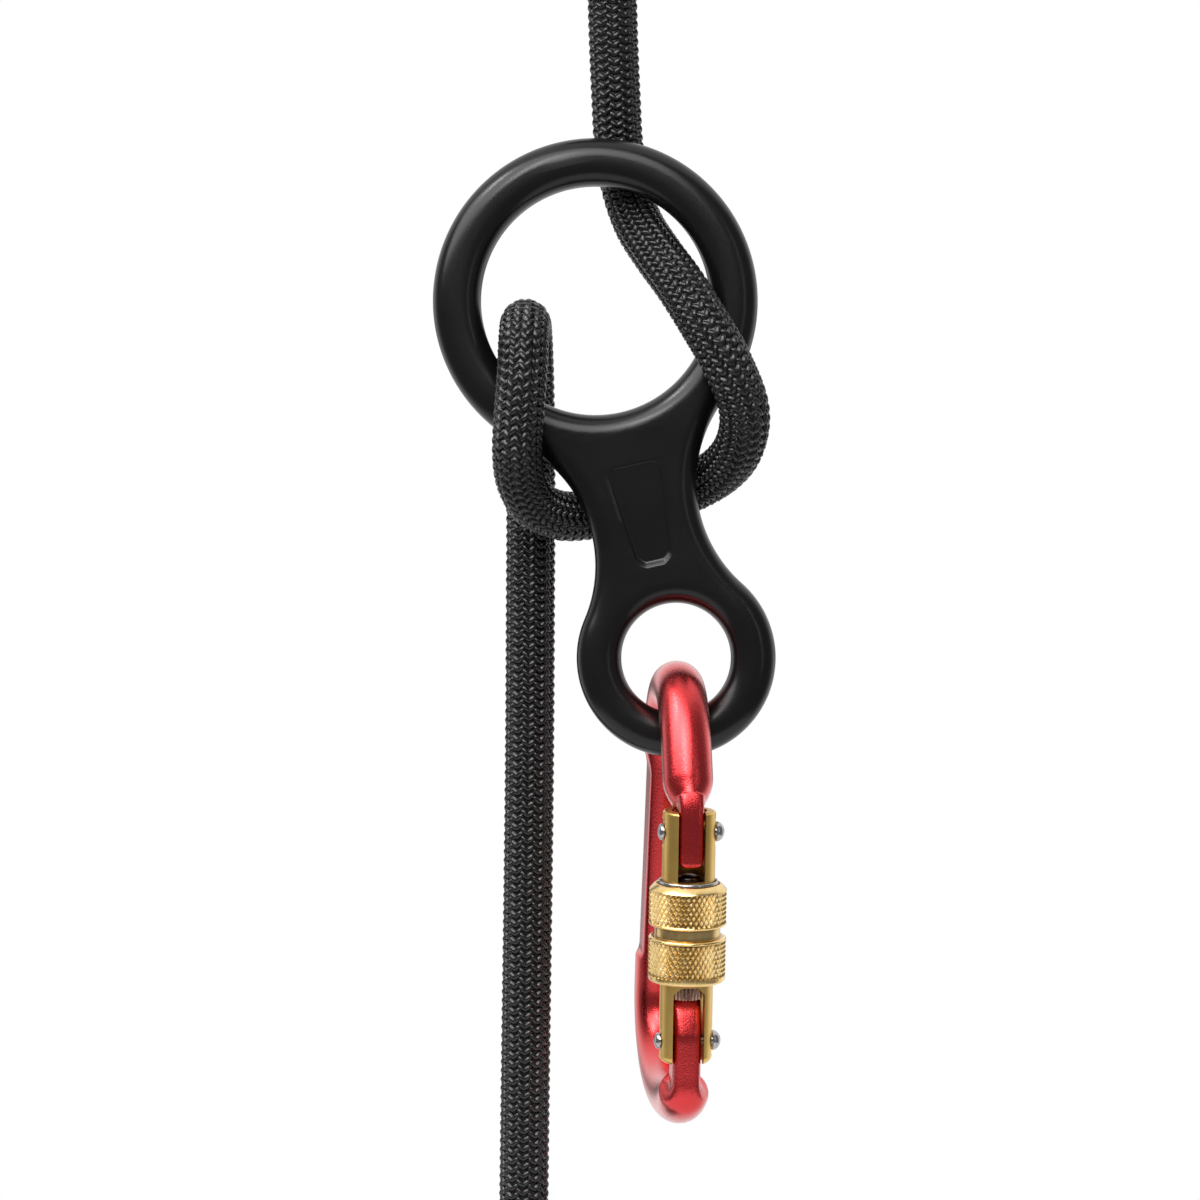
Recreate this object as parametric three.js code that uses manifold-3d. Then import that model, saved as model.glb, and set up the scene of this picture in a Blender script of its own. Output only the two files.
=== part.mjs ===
// A figure eight descender as it hangs in use: the eight, the rope through it and a screw gate connector.
// Millimetres, +Z up. +Y points away from the eight's marked face. The origin is where the upper rope eye hangs.

import * as THREE from 'three';
import { mergeVertices } from 'three/addons/utils/BufferGeometryUtils.js';
import Module from 'manifold-3d';

const wasm = await Module();
wasm.setup();

const degree = Math.PI / 180;
const quarter = Math.PI / 2;
const running_gap = 0.3;
const cut_overrun = 4;

// The eight: two rings and a waisted neck, one forging with rounded edges.
const big_ring_radius = 38.2;
const big_hole_radius = 26.9;
const small_ring_radius = 23.4;
const small_hole_radius = 12.9;
const ring_spacing = 86.1;
const neck_width = 26;
const eight_thickness = 11;
const edge_round_share = 0.46;
const edge_steps = 3;
const big_ring_steps = 42;
const small_ring_steps = 26;
const eight_tilt = 12.75 * degree;
const big_centre_x = -1.1;
const big_centre_z = 70.4;

// The recessed panel on the front of the neck.
const panel_start = 39.4;
const panel_length = 24.4;
const panel_top_width = 13.3;
const panel_bottom_width = 8.1;
const panel_depth = 0.7;

// The rope and the two sewn eyes that it ends in.
const rope_diameter = 12;
const rope_sides = 10;
const rope_steps = 66;
const eye_sleeve_length = 30;
const eye_sleeve_wall = 1.2;
const eye_sleeve_sides = 12;
const eye_inner_length = 25;
const eye_inner_width = 18;
const eye_steps = 18;

// The connector: an offset D, its gate towards the viewer and its spine behind. The spine leans away
// from the gate as it runs down.
const bar_diameter = 11.7;
const hang_gap = 0.5;
const hang_offset = 0.2;
const connector_yaw = 7 * degree;
const spine_reach = 13;
const spine_lean = 14.3 * degree;
const nose_reach = 19.7;
const shoulder_drop = 34;
const spine_shoulder_drop = 20;
const barrel_base_gap = 4.25;
const bottom_rise = 25;
const bottom_middle = 2.3;
const bend_squareness = 2.3;
const arm_squareness = 2.1;
const low_bend_squareness = 2;
const bar_sides = 16;
const bend_steps = 9;

// The gate's axis leans, with its latch end further from the spine.
const rivet_reach = 13.7;
const rivet_drop = 70.3;
const gate_lean = 7 * degree;

// The flats on both sides of the spine: they run shallower downwards and end in a step.
const flat_rise = 6.5;
const flat_length = 52.2;
const flat_top_width = 8.3;
const flat_bottom_width = 9.2;
const flat_ramp = 7;

// The gate barrel, along its own axis from the hinge rivet up.
const barrel_radius = 6.15;
const barrel_bore_radius = 4.1;
const barrel_top = 54.1;
const barrel_bottom = 5;
const barrel_top_round = 0.7;
const barrel_bottom_round = 1.8;
const latch_slot_width = 6.3;
const hinge_slot_top = 13.6;
const hinge_slot_width = 7.3;
const hinge_slot_chamfer = 1.8;
const side_flat_depth = 0.3;
const side_flat_height = 6.4;

// The two cross pins with their domed heads.
const latch_pin_height = 49.1;
const pin_radius = 1.3;
const pin_head_radius = 2.35;
const pin_head_height = 1.9;
const formed_head_radius = 1.95;
const formed_head_height = 1.2;
const pin_dome_steps = 4;

// The nose tongue that the gate closes over, and the hinge tongue inside its lower end.
const nose_width = 5.6;
const nose_depth = 9.2;
const nose_end_height = 41.2;
const latch_slot_below_nose = 3.3;
const latch_slot_back_gap = 0.6;
const nose_flare_gap = 1.8;
const nose_flare_length = 4.9;
const notch_clearance = 0.5;
const hinge_tongue_width = 6.4;
const hinge_tongue_depth = 9;
const hinge_tongue_top = 9.6;
const hinge_tongue_length = 9.4;
const hinge_flare_length = 4;
const tongue_end_round = 1.2;
const tongue_squareness = 5;

// The locking sleeve: two knurled bands with a groove between, and a steel ring in its top.
const sleeve_bottom = 14.3;
const sleeve_top = 37.2;
const sleeve_radius = 9;
const groove_radius = 7.6;
const lower_band_height = 10.5;
const groove_height = 2.6;
const band_edge = 0.6;
const sleeve_top_bevel = 1.3;
const ring_radius = 7.05;
const ring_seat_depth = 0.6;
const ring_height = 1;

// The gate's driver, its spring and the plug that the spring bears on.
const driver_head_radius = 3.8;
const driver_head_height = 4.5;
const driver_stem_radius = 1.3;
const driver_stem_length = 9;
const plug_below_nose = 5.4;
const plug_height = 2.6;
const plug_dome_height = 0.9;
const spring_radius = 2.55;
const spring_wire = 0.7;
const spring_curls = 13;
const curl_steps = 8;
const wire_sides = 5;

const segments = 32;

// Sizes that follow from others: the rounding of the eight's edges, and what stands below the nose's end.
const thinnest_bar = Math.min(
  eight_thickness,
  big_ring_radius - big_hole_radius,
  small_ring_radius - small_hole_radius,
);
const edge_round = edge_round_share * thinnest_bar;
const latch_slot_bottom = nose_end_height - latch_slot_below_nose;
const latch_slot_back = nose_end_height - latch_slot_back_gap;
const plug_bottom = nose_end_height - plug_below_nose;

// The rope's route, chosen by hand: down behind the big ring, forward through it, over its right side,
// behind the neck, over its left side and back through it. From the middle of the front view:
// right, away from the viewer, up.
const rope_route = [
  [2.9, 12.4, 145],
  [3.2, 12.4, 134],
  [3.8, 12.3, 120],
  [4.5, 12.4, 108],
  [6.1, 11.9, 98.6],
  [8.9, 8.4, 89.8],
  [13.4, 1.4, 81.8],
  [18.6, -6.4, 73.8],
  [24.0, -12, 64.6],
  [29.6, -13.4, 54.6],
  [33.5, -10.0, 44.6],
  [32.9, -3.4, 36.6],
  [29.1, 4.4, 31.2],
  [23.0, 10.8, 27.4],
  [14.6, 12.5, 24.2],
  [5.0, 12.3, 21.8],
  [-3.6, 11.1, 20.2],
  [-10.0, 7.0, 20.1],
  [-15.4, 2.0, 22.6],
  [-18.5, -4.2, 28.0],
  [-19.2, -10.1, 35.4],
  [-18.7, -12.4, 43.6],
  [-18.1, -12.6, 52.4],
  [-17.8, -9.0, 60.6],
  [-17.5, -1.0, 64.9],
  [-17.2, 7.6, 62.5],
  [-16.9, 13.0, 54.6],
  [-16.7, 15.8, 44.4],
  [-16.6, 17.6, 32.0],
  [-16.6, 18.2, 18.0],
  [-16.7, 18.2, 0],
  [-16.9, 18.2, -35],
  [-17.3, 18.2, -70],
  [-17.8, 18.2, -105],
  [-18.3, 18.2, -145],
];

const rope_black = new THREE.MeshStandardMaterial({ color: 0x262628, roughness: 0.85, metalness: 0 });
const shrink_black = new THREE.MeshStandardMaterial({ color: 0x1c1c1e, roughness: 0.5, metalness: 0 });
const black_anodised = new THREE.MeshStandardMaterial({ color: 0x232223, roughness: 0.35, metalness: 0.9 });
const red_anodised = new THREE.MeshStandardMaterial({ color: 0xb3272b, roughness: 0.3, metalness: 0.9 });
const brass = new THREE.MeshStandardMaterial({ color: 0xb8954a, roughness: 0.3, metalness: 1 });
const steel = new THREE.MeshStandardMaterial({ color: 0x9a9a9c, roughness: 0.25, metalness: 1 });

// Closed meshes to solids and back
function solid(geometry) {
  const bare = geometry.clone();
  bare.deleteAttribute('normal');
  bare.deleteAttribute('uv');
  const merged = mergeVertices(bare);
  const mesh = new wasm.Mesh({
    numProp: 3,
    vertProperties: new Float32Array(merged.attributes.position.array),
    triVerts: new Uint32Array(merged.index.array),
  });
  return new wasm.Manifold(mesh);
}

function geometryOf(manifold) {
  const mesh = manifold.getMesh();
  const geometry = new THREE.BufferGeometry();
  geometry.setAttribute('position', new THREE.BufferAttribute(new Float32Array(mesh.vertProperties), 3));
  geometry.setIndex(new THREE.BufferAttribute(new Uint32Array(mesh.triVerts), 1));
  return geometry;
}

function named(name, geometry, material) {
  const mesh = new THREE.Mesh(geometry, material);
  mesh.name = name;
  return mesh;
}

// A solid through rings of points, with flat ends
function loft(rings) {
  const count = rings[0].length;
  const points = rings.flat();
  const faces = [];
  for (let r = 0; r + 1 < rings.length; r += 1) {
    for (let i = 0; i < count; i += 1) {
      const a = r * count + i;
      const b = r * count + (i + 1) % count;
      faces.push(a, b, b + count, a, b + count, a + count);
    }
  }
  for (const [ring, turn] of [[0, false], [rings.length - 1, true]]) {
    const middle = points.length;
    const centre = new THREE.Vector3();
    rings[ring].forEach((p) => centre.add(p));
    points.push(centre.divideScalar(count));
    for (let i = 0; i < count; i += 1) {
      const a = ring * count + i;
      const b = ring * count + (i + 1) % count;
      faces.push(...(turn ? [a, b, middle] : [b, a, middle]));
    }
  }
  const geometry = new THREE.BufferGeometry();
  const flat = points.flatMap((p) => [p.x, p.y, p.z]);
  geometry.setAttribute('position', new THREE.Float32BufferAttribute(flat, 3));
  geometry.setIndex(faces);
  return geometry;
}

// A box given by its lowest and highest corners
function block(low, high) {
  const size = high.map((value, i) => value - low[i]);
  const geometry = new THREE.BoxGeometry(...size);
  geometry.translate(...low.map((value, i) => value + size[i] / 2));
  return geometry;
}

// A round bar along X through a point of the YZ plane
function crossBar(radius, length, y, z) {
  const geometry = new THREE.CylinderGeometry(radius, radius, length, segments);
  geometry.rotateZ(quarter);
  geometry.translate(0, y, z);
  return geometry;
}

// A turned piece about Z from [radius, height] points
function turned(points) {
  const geometry = new THREE.LatheGeometry(points.map((p) => new THREE.Vector2(...p)), segments);
  geometry.rotateX(quarter);
  return geometry;
}

function arc(centre, radius, from, to, steps) {
  const points = [];
  for (let i = 0; i <= steps; i += 1) {
    const a = from + (to - from) * i / steps;
    points.push(new THREE.Vector2(centre[0] + radius * Math.cos(a), centre[1] + radius * Math.sin(a)));
  }
  return points;
}

// The radius of the neck's concave sides, which touch both rings and leave neck_width between them
function neckSides() {
  const half = neck_width / 2;
  const reach = (ring_spacing ** 2 + big_ring_radius ** 2 - small_ring_radius ** 2) / (2 * ring_spacing);
  const slope = (big_ring_radius - small_ring_radius) / ring_spacing;
  const b = 2 * reach * slope - 2 * (big_ring_radius - half);
  const c = reach ** 2 - big_ring_radius ** 2 + half ** 2;
  const radius = 2 * c / (-b + Math.sqrt(b * b - 4 * slope * slope * c));
  return { radius, across: half + radius, down: reach + slope * radius };
}

function descender() {
  const side = neckSides();
  const below = side.down - ring_spacing;
  const top_angle = Math.atan2(-side.down, side.across);
  const low_angle = Math.atan2(-below, side.across);
  const outline = [
    ...arc([0, 0], big_ring_radius, top_angle, Math.PI - top_angle, big_ring_steps),
    ...arc([-side.across, -side.down], side.radius, -top_angle, -low_angle, bend_steps).slice(1),
    ...arc([0, -ring_spacing], small_ring_radius, Math.PI - low_angle, 2 * Math.PI + low_angle, small_ring_steps)
      .slice(1),
    ...arc([side.across, -side.down], side.radius, Math.PI + low_angle, Math.PI + top_angle, bend_steps)
      .slice(1, -1),
  ];
  const shape = new THREE.Shape(outline);
  shape.holes.push(new THREE.Path(arc([0, 0], big_hole_radius, 0, 2 * Math.PI, big_ring_steps).slice(1)));
  shape.holes.push(new THREE.Path(arc([0, -ring_spacing], small_hole_radius, 0, 2 * Math.PI, small_ring_steps).slice(1)));
  const plate = new THREE.ExtrudeGeometry(shape, {
    depth: eight_thickness - 2 * edge_round,
    bevelThickness: edge_round,
    bevelSize: edge_round,
    bevelOffset: -edge_round,
    bevelSegments: edge_steps,
  });
  plate.translate(0, 0, edge_round - eight_thickness / 2);
  const panel = new THREE.Shape([
    new THREE.Vector2(-panel_top_width / 2, -panel_start),
    new THREE.Vector2(-panel_bottom_width / 2, -panel_start - panel_length),
    new THREE.Vector2(panel_bottom_width / 2, -panel_start - panel_length),
    new THREE.Vector2(panel_top_width / 2, -panel_start),
  ]);
  const recess = new THREE.ExtrudeGeometry(panel, { depth: panel_depth + cut_overrun, bevelEnabled: false });
  recess.translate(0, 0, eight_thickness / 2 - panel_depth);
  const geometry = geometryOf(solid(plate).subtract(solid(recess)));
  geometry.rotateX(quarter);
  const mesh = named('descender', geometry, black_anodised);
  mesh.position.set(big_centre_x, 0, big_centre_z);
  mesh.rotation.y = -eight_tilt;
  return mesh;
}

// A rope tube along a curve
function ropeTube(curve, steps) {
  const ring = arc([0, 0], rope_diameter / 2, 0, 2 * Math.PI, rope_sides).slice(1);
  return new THREE.ExtrudeGeometry(new THREE.Shape(ring), { steps, extrudePath: curve, bevelEnabled: false });
}

function rope() {
  const curve = new THREE.CatmullRomCurve3(rope_route.map((p) => new THREE.Vector3(...p)));
  return named('rope', ropeTube(curve, rope_steps), rope_black);
}

// How far each strand of a sewn eye stands from the middle of its sleeve
function strandOffset() {
  return rope_diameter / 2 + running_gap;
}

// A sewn eye at one end of the rope: the stitched length in its sleeve, and the loop beyond it
function sewnEye(where, end, way) {
  const group = new THREE.Group();
  const half = rope_diameter / 2;
  const side = strandOffset();
  const outline = [
    ...arc([side, 0], half + eye_sleeve_wall, -quarter, quarter, eye_sleeve_sides / 2),
    ...arc([-side, 0], half + eye_sleeve_wall, quarter, 3 * quarter, eye_sleeve_sides / 2),
  ];
  const sleeve = new THREE.ExtrudeGeometry(new THREE.Shape(outline), {
    depth: eye_sleeve_length,
    bevelEnabled: false,
  });
  sleeve.translate(0, 0, running_gap);
  const loop_start = eye_sleeve_length + 2 * running_gap;
  const loop_half = (eye_inner_width + rope_diameter) / 2;
  const bow_height = loop_start + eye_inner_length + half - loop_half;
  const legs = [-side, side].map((x) => [
    new THREE.Vector3(x, 0, loop_start),
    new THREE.Vector3(x, 0, loop_start + half / 2),
    new THREE.Vector3((x + Math.sign(x) * loop_half) / 2, 0, (loop_start + half / 2 + bow_height) / 2),
  ]);
  const bow = arc([0, bow_height], loop_half, Math.PI, 0, 6).map((p) => new THREE.Vector3(p.x, 0, p.y));
  const curve = new THREE.CatmullRomCurve3([...legs[0], ...bow, ...legs[1].reverse()]);
  group.add(named(`${where}_eye_sleeve`, sleeve, shrink_black));
  group.add(named(`${where}_eye`, ropeTube(curve, eye_steps), rope_black));
  group.position.set(end[0] - way * side, end[1], end[2]);
  group.rotation.y = way > 0 ? 0 : Math.PI;
  return group;
}

// A point of the connector's plane on the gate's axis, this far above the hinge rivet
function onGate(height) {
  const along = height * Math.sin(gate_lean);
  return [-rivet_reach - along, -rivet_drop + height * Math.cos(gate_lean)];
}

// A quarter of a squared ellipse, from its side to its top or back
function bend(centre, reach, rise, from, to, squareness = bend_squareness) {
  const power = 2 / squareness;
  const points = [];
  for (let i = 1; i <= bend_steps; i += 1) {
    const a = from + (to - from) * i / bend_steps;
    const c = Math.cos(a);
    const s = Math.sin(a);
    points.push([
      centre[0] + reach * Math.sign(c) * Math.abs(c) ** power,
      centre[1] + rise * Math.sign(s) * Math.abs(s) ** power,
    ]);
  }
  return points;
}

// The height of the body's centreline over the ring that it hangs on
function crownHeight() {
  return (small_ring_radius - small_hole_radius) / 2 + hang_gap + bar_diameter / 2;
}

// The connector body's centreline, the nose first, with half its width across and in the plane,
// and how squared its section is
function bodyStations() {
  const half = bar_diameter / 2;
  const nose = [nose_width / 2, nose_depth / 2, tongue_squareness];
  const hinge = [hinge_tongue_width / 2, hinge_tongue_depth / 2, tongue_squareness];
  const crown = crownHeight();
  const flare_start = barrel_top + nose_flare_gap;
  const flare_end = flare_start + nose_flare_length;
  const shoulder = crown - shoulder_drop;
  const spine_top = crown - spine_shoulder_drop;
  const low = -rivet_drop - barrel_bottom - barrel_base_gap - half;
  const spine_bottom = low + bottom_rise;
  const tongue_low = onGate(-hinge_tongue_length);
  const full = [half, half, 2];
  const between = (tongue, share) => tongue.map((value, i) => value + (full[i] - value) * share);
  const shortened = (tongue, by) => [tongue[0] - by[0], tongue[1] - by[1], tongue[2]];
  const stations = [
    [onGate(nose_end_height), shortened(nose, [tongue_end_round, tongue_end_round])],
    [onGate(nose_end_height + tongue_end_round), nose],
    [onGate(flare_start), nose],
  ];
  const arm_foot = onGate(flare_end)[1];
  const arm = bend([0, shoulder], nose_reach, shoulder_drop, Math.PI, quarter, arm_squareness);
  const lean = Math.tan(spine_lean);
  const base_middle = bottom_middle - lean * (crown - low);
  const spine = [
    ...bend([0, spine_top], spine_reach, spine_shoulder_drop, quarter, 0),
    ...bend(
      [base_middle, spine_bottom],
      spine_reach - base_middle,
      bottom_rise,
      0,
      -quarter,
      low_bend_squareness,
    ),
  ];
  const bends = [
    ...arm.filter((p) => p[1] > arm_foot),
    ...spine.map((p) => [p[0] + lean * (crown - p[1]), p[1]]),
  ];
  bends.forEach((p) => stations.push([p, full]));
  const front = bend(
    [bottom_middle, tongue_low[1]],
    bottom_middle - tongue_low[0],
    tongue_low[1] - low,
    -quarter,
    -2 * quarter,
  );
  front.forEach((p, i) => {
    const left = Math.hypot(p[0] - tongue_low[0], p[1] - tongue_low[1]) / hinge_flare_length;
    const share = Math.min(1, left);
    stations.push([p, between(hinge, share)]);
  });
  stations.push([onGate(-hinge_tongue_length / 2), hinge]);
  stations.push([onGate(0), hinge]);
  stations.push([onGate(hinge_tongue_top - 2 * tongue_end_round), hinge]);
  stations.push([onGate(hinge_tongue_top), shortened(hinge, [0, 2 * tongue_end_round])]);
  return stations;
}

function connectorBody() {
  const stations = bodyStations();
  const rings = stations.map(([point, half], k) => {
    const before = stations[Math.max(0, k - 1)][0];
    const after = stations[Math.min(stations.length - 1, k + 1)][0];
    const along = Math.atan2(after[1] - before[1], after[0] - before[0]);
    const squared = (value) => Math.sign(value) * Math.abs(value) ** (2 / half[2]);
    return arc([0, 0], 1, 0, 2 * Math.PI, bar_sides).slice(1).map((p) => {
      const out = half[1] * squared(p.y);
      return new THREE.Vector3(
        -half[0] * squared(p.x),
        point[0] - out * Math.sin(along),
        point[1] + out * Math.cos(along),
      );
    });
  });
  const notch_radius = pin_radius + notch_clearance;
  const notch = [
    crossBar(notch_radius, bar_diameter, 0, latch_pin_height),
    block(
      [-bar_diameter / 2, 0, latch_pin_height - notch_radius],
      [bar_diameter / 2, nose_depth, latch_pin_height + notch_radius],
    ),
    crossBar(pin_radius + running_gap, bar_diameter, 0, 0),
  ];
  let body = solid(loft(rings));
  for (const cut of notch) {
    cut.applyMatrix4(gatePlace());
    body = body.subtract(solid(cut));
  }
  for (const side of [-1, 1]) {
    body = body.subtract(solid(spineFlat(side)));
  }
  return named('connector_body', geometryOf(body), red_anodised);
}

// What one side of the spine is cut away by: a wedge with a ramp at its top and a step at its foot
function spineFlat(side) {
  const half = bar_diameter / 2;
  const past = half + cut_overrun;
  const top = crownHeight() - spine_shoulder_drop + flat_rise;
  const low = top - flat_length;
  const drift = Math.tan(spine_lean) * flat_length;
  const middle = spine_reach + Math.tan(spine_lean) * (crownHeight() - top) + drift / 2;
  const depth = 2 * past + drift;
  const wedge = new THREE.Shape([
    new THREE.Vector2(flat_bottom_width / 2, low),
    new THREE.Vector2(past, low),
    new THREE.Vector2(past, top),
    new THREE.Vector2(half, top),
    new THREE.Vector2(flat_top_width / 2, top - flat_ramp),
  ]);
  const geometry = new THREE.ExtrudeGeometry(wedge, { depth, bevelEnabled: false });
  geometry.rotateX(quarter);
  geometry.translate(0, middle + depth / 2, 0);
  if (side < 0) {
    geometry.rotateZ(Math.PI);
    geometry.translate(0, 2 * middle, 0);
  }
  return geometry;
}

// Where the gate's own axis stands in the connector: Z runs up it from the hinge rivet
function gatePlace() {
  const place = new THREE.Matrix4().makeRotationX(gate_lean);
  return place.setPosition(0, -rivet_reach, -rivet_drop);
}

function gateBarrel() {
  const r = barrel_radius;
  const b = barrel_bore_radius;
  let barrel = solid(turned([
    [b, -barrel_bottom],
    [r - barrel_bottom_round, -barrel_bottom],
    [r, barrel_bottom_round - barrel_bottom],
    [r, barrel_top - barrel_top_round],
    [r - barrel_top_round, barrel_top],
    [b, barrel_top],
    [b, -barrel_bottom],
  ]));
  const slot = latch_slot_width / 2;
  const past = r + cut_overrun;
  const half = hinge_slot_width / 2;
  const low = -barrel_bottom - cut_overrun;
  const window = new THREE.ExtrudeGeometry(new THREE.Shape([
    new THREE.Vector2(-half, low),
    new THREE.Vector2(half, low),
    new THREE.Vector2(half, hinge_slot_top - hinge_slot_chamfer),
    new THREE.Vector2(half - hinge_slot_chamfer, hinge_slot_top),
    new THREE.Vector2(hinge_slot_chamfer - half, hinge_slot_top),
    new THREE.Vector2(-half, hinge_slot_top - hinge_slot_chamfer),
  ]), { depth: 2 * past, bevelEnabled: false });
  window.translate(0, 0, -past);
  window.rotateX(quarter);
  const cuts = [
    block([-slot, -past, latch_slot_bottom], [slot, 0, barrel_top + cut_overrun]),
    block([-slot, -b, latch_slot_back], [slot, past, barrel_top + cut_overrun]),
    window,
  ];
  for (const height of [0, latch_pin_height]) {
    cuts.push(crossBar(pin_radius + running_gap, 2 * past, 0, height));
    for (const side of [-1, 1]) {
      const flat = [side * (r - side_flat_depth), side * past].sort((p, q) => p - q);
      const rise = side_flat_height / 2;
      cuts.push(block([flat[0], -past, height - rise], [flat[1], past, height + rise]));
    }
  }
  for (const cut of cuts) {
    barrel = barrel.subtract(solid(cut));
  }
  return named('gate_barrel', geometryOf(barrel), brass);
}

// A pin across the barrel with a made head on its right and a smaller formed one on its left
function crossPin(name, height) {
  const base = barrel_radius - side_flat_depth + running_gap;
  const dome = arc([0, 0], 1, 0, quarter, pin_dome_steps);
  dome[pin_dome_steps].x = 0;
  const right = dome.map((p) => [pin_head_radius * p.x, base + pin_head_height * p.y]);
  const left = dome.map((p) => [formed_head_radius * p.x, -base - formed_head_height * p.y]).reverse();
  const geometry = turned([...left, [pin_radius, -base], [pin_radius, base], ...right]);
  geometry.rotateY(quarter);
  geometry.translate(0, 0, height);
  return named(name, geometry, steel);
}

function lockingSleeve() {
  const bore = barrel_radius + running_gap;
  const r = sleeve_radius;
  const seat = ring_radius + running_gap;
  const lower = sleeve_bottom + lower_band_height;
  const upper = lower + groove_height;
  return named('locking_sleeve', turned([
    [bore, sleeve_bottom],
    [r - band_edge, sleeve_bottom],
    [r, sleeve_bottom + band_edge],
    [r, lower - band_edge],
    [r - band_edge, lower],
    [groove_radius, lower],
    [groove_radius, upper],
    [r - band_edge, upper],
    [r, upper + band_edge],
    [r, sleeve_top - sleeve_top_bevel],
    [r - sleeve_top_bevel, sleeve_top],
    [seat, sleeve_top],
    [seat, sleeve_top - ring_seat_depth],
    [bore, sleeve_top - ring_seat_depth],
    [bore, sleeve_bottom],
  ]), brass);
}

function sleeveRing() {
  const bore = barrel_radius + running_gap;
  const low = sleeve_top - ring_seat_depth + running_gap;
  return named('sleeve_ring', turned([
    [bore, low],
    [ring_radius, low],
    [ring_radius, low + ring_height],
    [bore, low + ring_height],
    [bore, low],
  ]), steel);
}

// The driver stands on the hinge tongue's end, its stem up inside the spring
function gateDriver() {
  const foot = hinge_tongue_top + running_gap;
  const head = foot + driver_head_height;
  const tip = head + driver_stem_length;
  return named('gate_driver', turned([
    [0, foot],
    [driver_head_radius, foot],
    [driver_head_radius, head],
    [driver_stem_radius, head],
    [driver_stem_radius, tip],
    [0, tip],
  ]), steel);
}

function springPlug() {
  const radius = barrel_bore_radius - running_gap;
  const top = plug_bottom + plug_height;
  return named('spring_plug', turned([
    [0, plug_bottom],
    [radius, plug_bottom],
    [radius, top],
    [radius / 2, top + plug_dome_height],
    [0, top + plug_dome_height],
  ]), steel);
}

function gateSpring() {
  const low = hinge_tongue_top + 2 * running_gap + driver_head_height + spring_wire / 2;
  const high = plug_bottom - running_gap - spring_wire / 2;
  const steps = spring_curls * curl_steps;
  const line = [];
  for (let i = 0; i <= steps; i += 1) {
    const a = 2 * Math.PI * i / curl_steps;
    const height = low + (high - low) * i / steps;
    line.push(new THREE.Vector3(spring_radius * Math.cos(a), spring_radius * Math.sin(a), height));
  }
  const rings = line.map((p, i) => {
    const a = 2 * Math.PI * i / curl_steps;
    const wire = arc([0, 0], spring_wire / 2, 0, 2 * Math.PI, wire_sides).slice(1);
    return wire.map((w) => {
      const out = spring_radius + w.x;
      return new THREE.Vector3(out * Math.cos(a), out * Math.sin(a), p.z - w.y);
    });
  });
  let least = Infinity;
  line.forEach((p, i) => {
    for (let k = i + curl_steps / 2; k <= steps; k += 1) {
      least = Math.min(least, p.distanceTo(line[k]) - spring_wire);
    }
  });
  console.log(`gate_spring: least gap to itself ${least.toFixed(2)} mm`);
  return named('gate_spring', loft(rings), steel);
}

function gate() {
  const group = new THREE.Group();
  group.add(
    gateBarrel(),
    crossPin('latch_pin', latch_pin_height),
    crossPin('hinge_rivet', 0),
    gateDriver(),
    gateSpring(),
    springPlug(),
    lockingSleeve(),
    sleeveRing(),
  );
  group.applyMatrix4(gatePlace());
  return group;
}

function connector() {
  const group = new THREE.Group();
  group.add(connectorBody(), gate());
  const ring_x = big_centre_x + ring_spacing * Math.sin(eight_tilt);
  const ring_z = big_centre_z - ring_spacing * Math.cos(eight_tilt);
  group.position.set(ring_x + hang_offset, 0, ring_z - (small_ring_radius + small_hole_radius) / 2);
  group.rotation.z = connector_yaw;
  return group;
}

const rope_top = rope_route[0];
const rope_low = rope_route[rope_route.length - 1];
const anchor = [
  rope_top[0] - strandOffset(),
  rope_top[1],
  rope_top[2] + eye_sleeve_length + 2 * running_gap + eye_inner_length,
];

const part = new THREE.Group();
part.add(descender(), rope(), sewnEye('upper', rope_top, 1), sewnEye('lower', rope_low, -1), connector());
part.position.set(-anchor[0], -anchor[1], -anchor[2]);

export default part;
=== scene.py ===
# A figure eight descender rigged on its rope, with a screw gate connector in its small eye.
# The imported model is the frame; each piece is made here in the finish that the real one has.

import math

import bmesh
import bpy
from mathutils import Matrix, Vector


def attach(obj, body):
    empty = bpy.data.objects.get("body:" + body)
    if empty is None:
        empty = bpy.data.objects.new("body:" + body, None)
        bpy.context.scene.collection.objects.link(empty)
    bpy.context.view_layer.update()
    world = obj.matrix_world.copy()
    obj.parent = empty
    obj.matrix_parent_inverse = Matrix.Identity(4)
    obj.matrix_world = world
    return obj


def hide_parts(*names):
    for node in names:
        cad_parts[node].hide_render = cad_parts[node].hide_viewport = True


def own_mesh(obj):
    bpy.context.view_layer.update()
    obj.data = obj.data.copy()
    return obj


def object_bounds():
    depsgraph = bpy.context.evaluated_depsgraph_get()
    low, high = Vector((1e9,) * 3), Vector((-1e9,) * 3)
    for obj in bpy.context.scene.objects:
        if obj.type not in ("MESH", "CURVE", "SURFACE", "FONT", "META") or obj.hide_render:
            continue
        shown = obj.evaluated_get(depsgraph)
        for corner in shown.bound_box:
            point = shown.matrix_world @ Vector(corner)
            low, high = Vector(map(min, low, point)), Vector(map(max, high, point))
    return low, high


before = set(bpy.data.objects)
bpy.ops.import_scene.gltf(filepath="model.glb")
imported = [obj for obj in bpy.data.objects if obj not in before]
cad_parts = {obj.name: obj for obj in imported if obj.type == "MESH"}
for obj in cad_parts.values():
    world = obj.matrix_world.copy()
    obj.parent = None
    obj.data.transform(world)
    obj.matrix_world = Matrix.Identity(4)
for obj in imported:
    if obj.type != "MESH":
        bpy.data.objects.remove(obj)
cad_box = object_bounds()

# Lengths are in millimetres from the middle of the front view: right, away from the viewer, up.
MM = 0.001
VIEW_MIDDLE = Vector((3.4, -12.4, -200.6))


def in_row(point):
    """A point of the front view in the row's frame, in metres"""
    return (VIEW_MIDDLE + Vector(point)) * MM


# Camera


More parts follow.
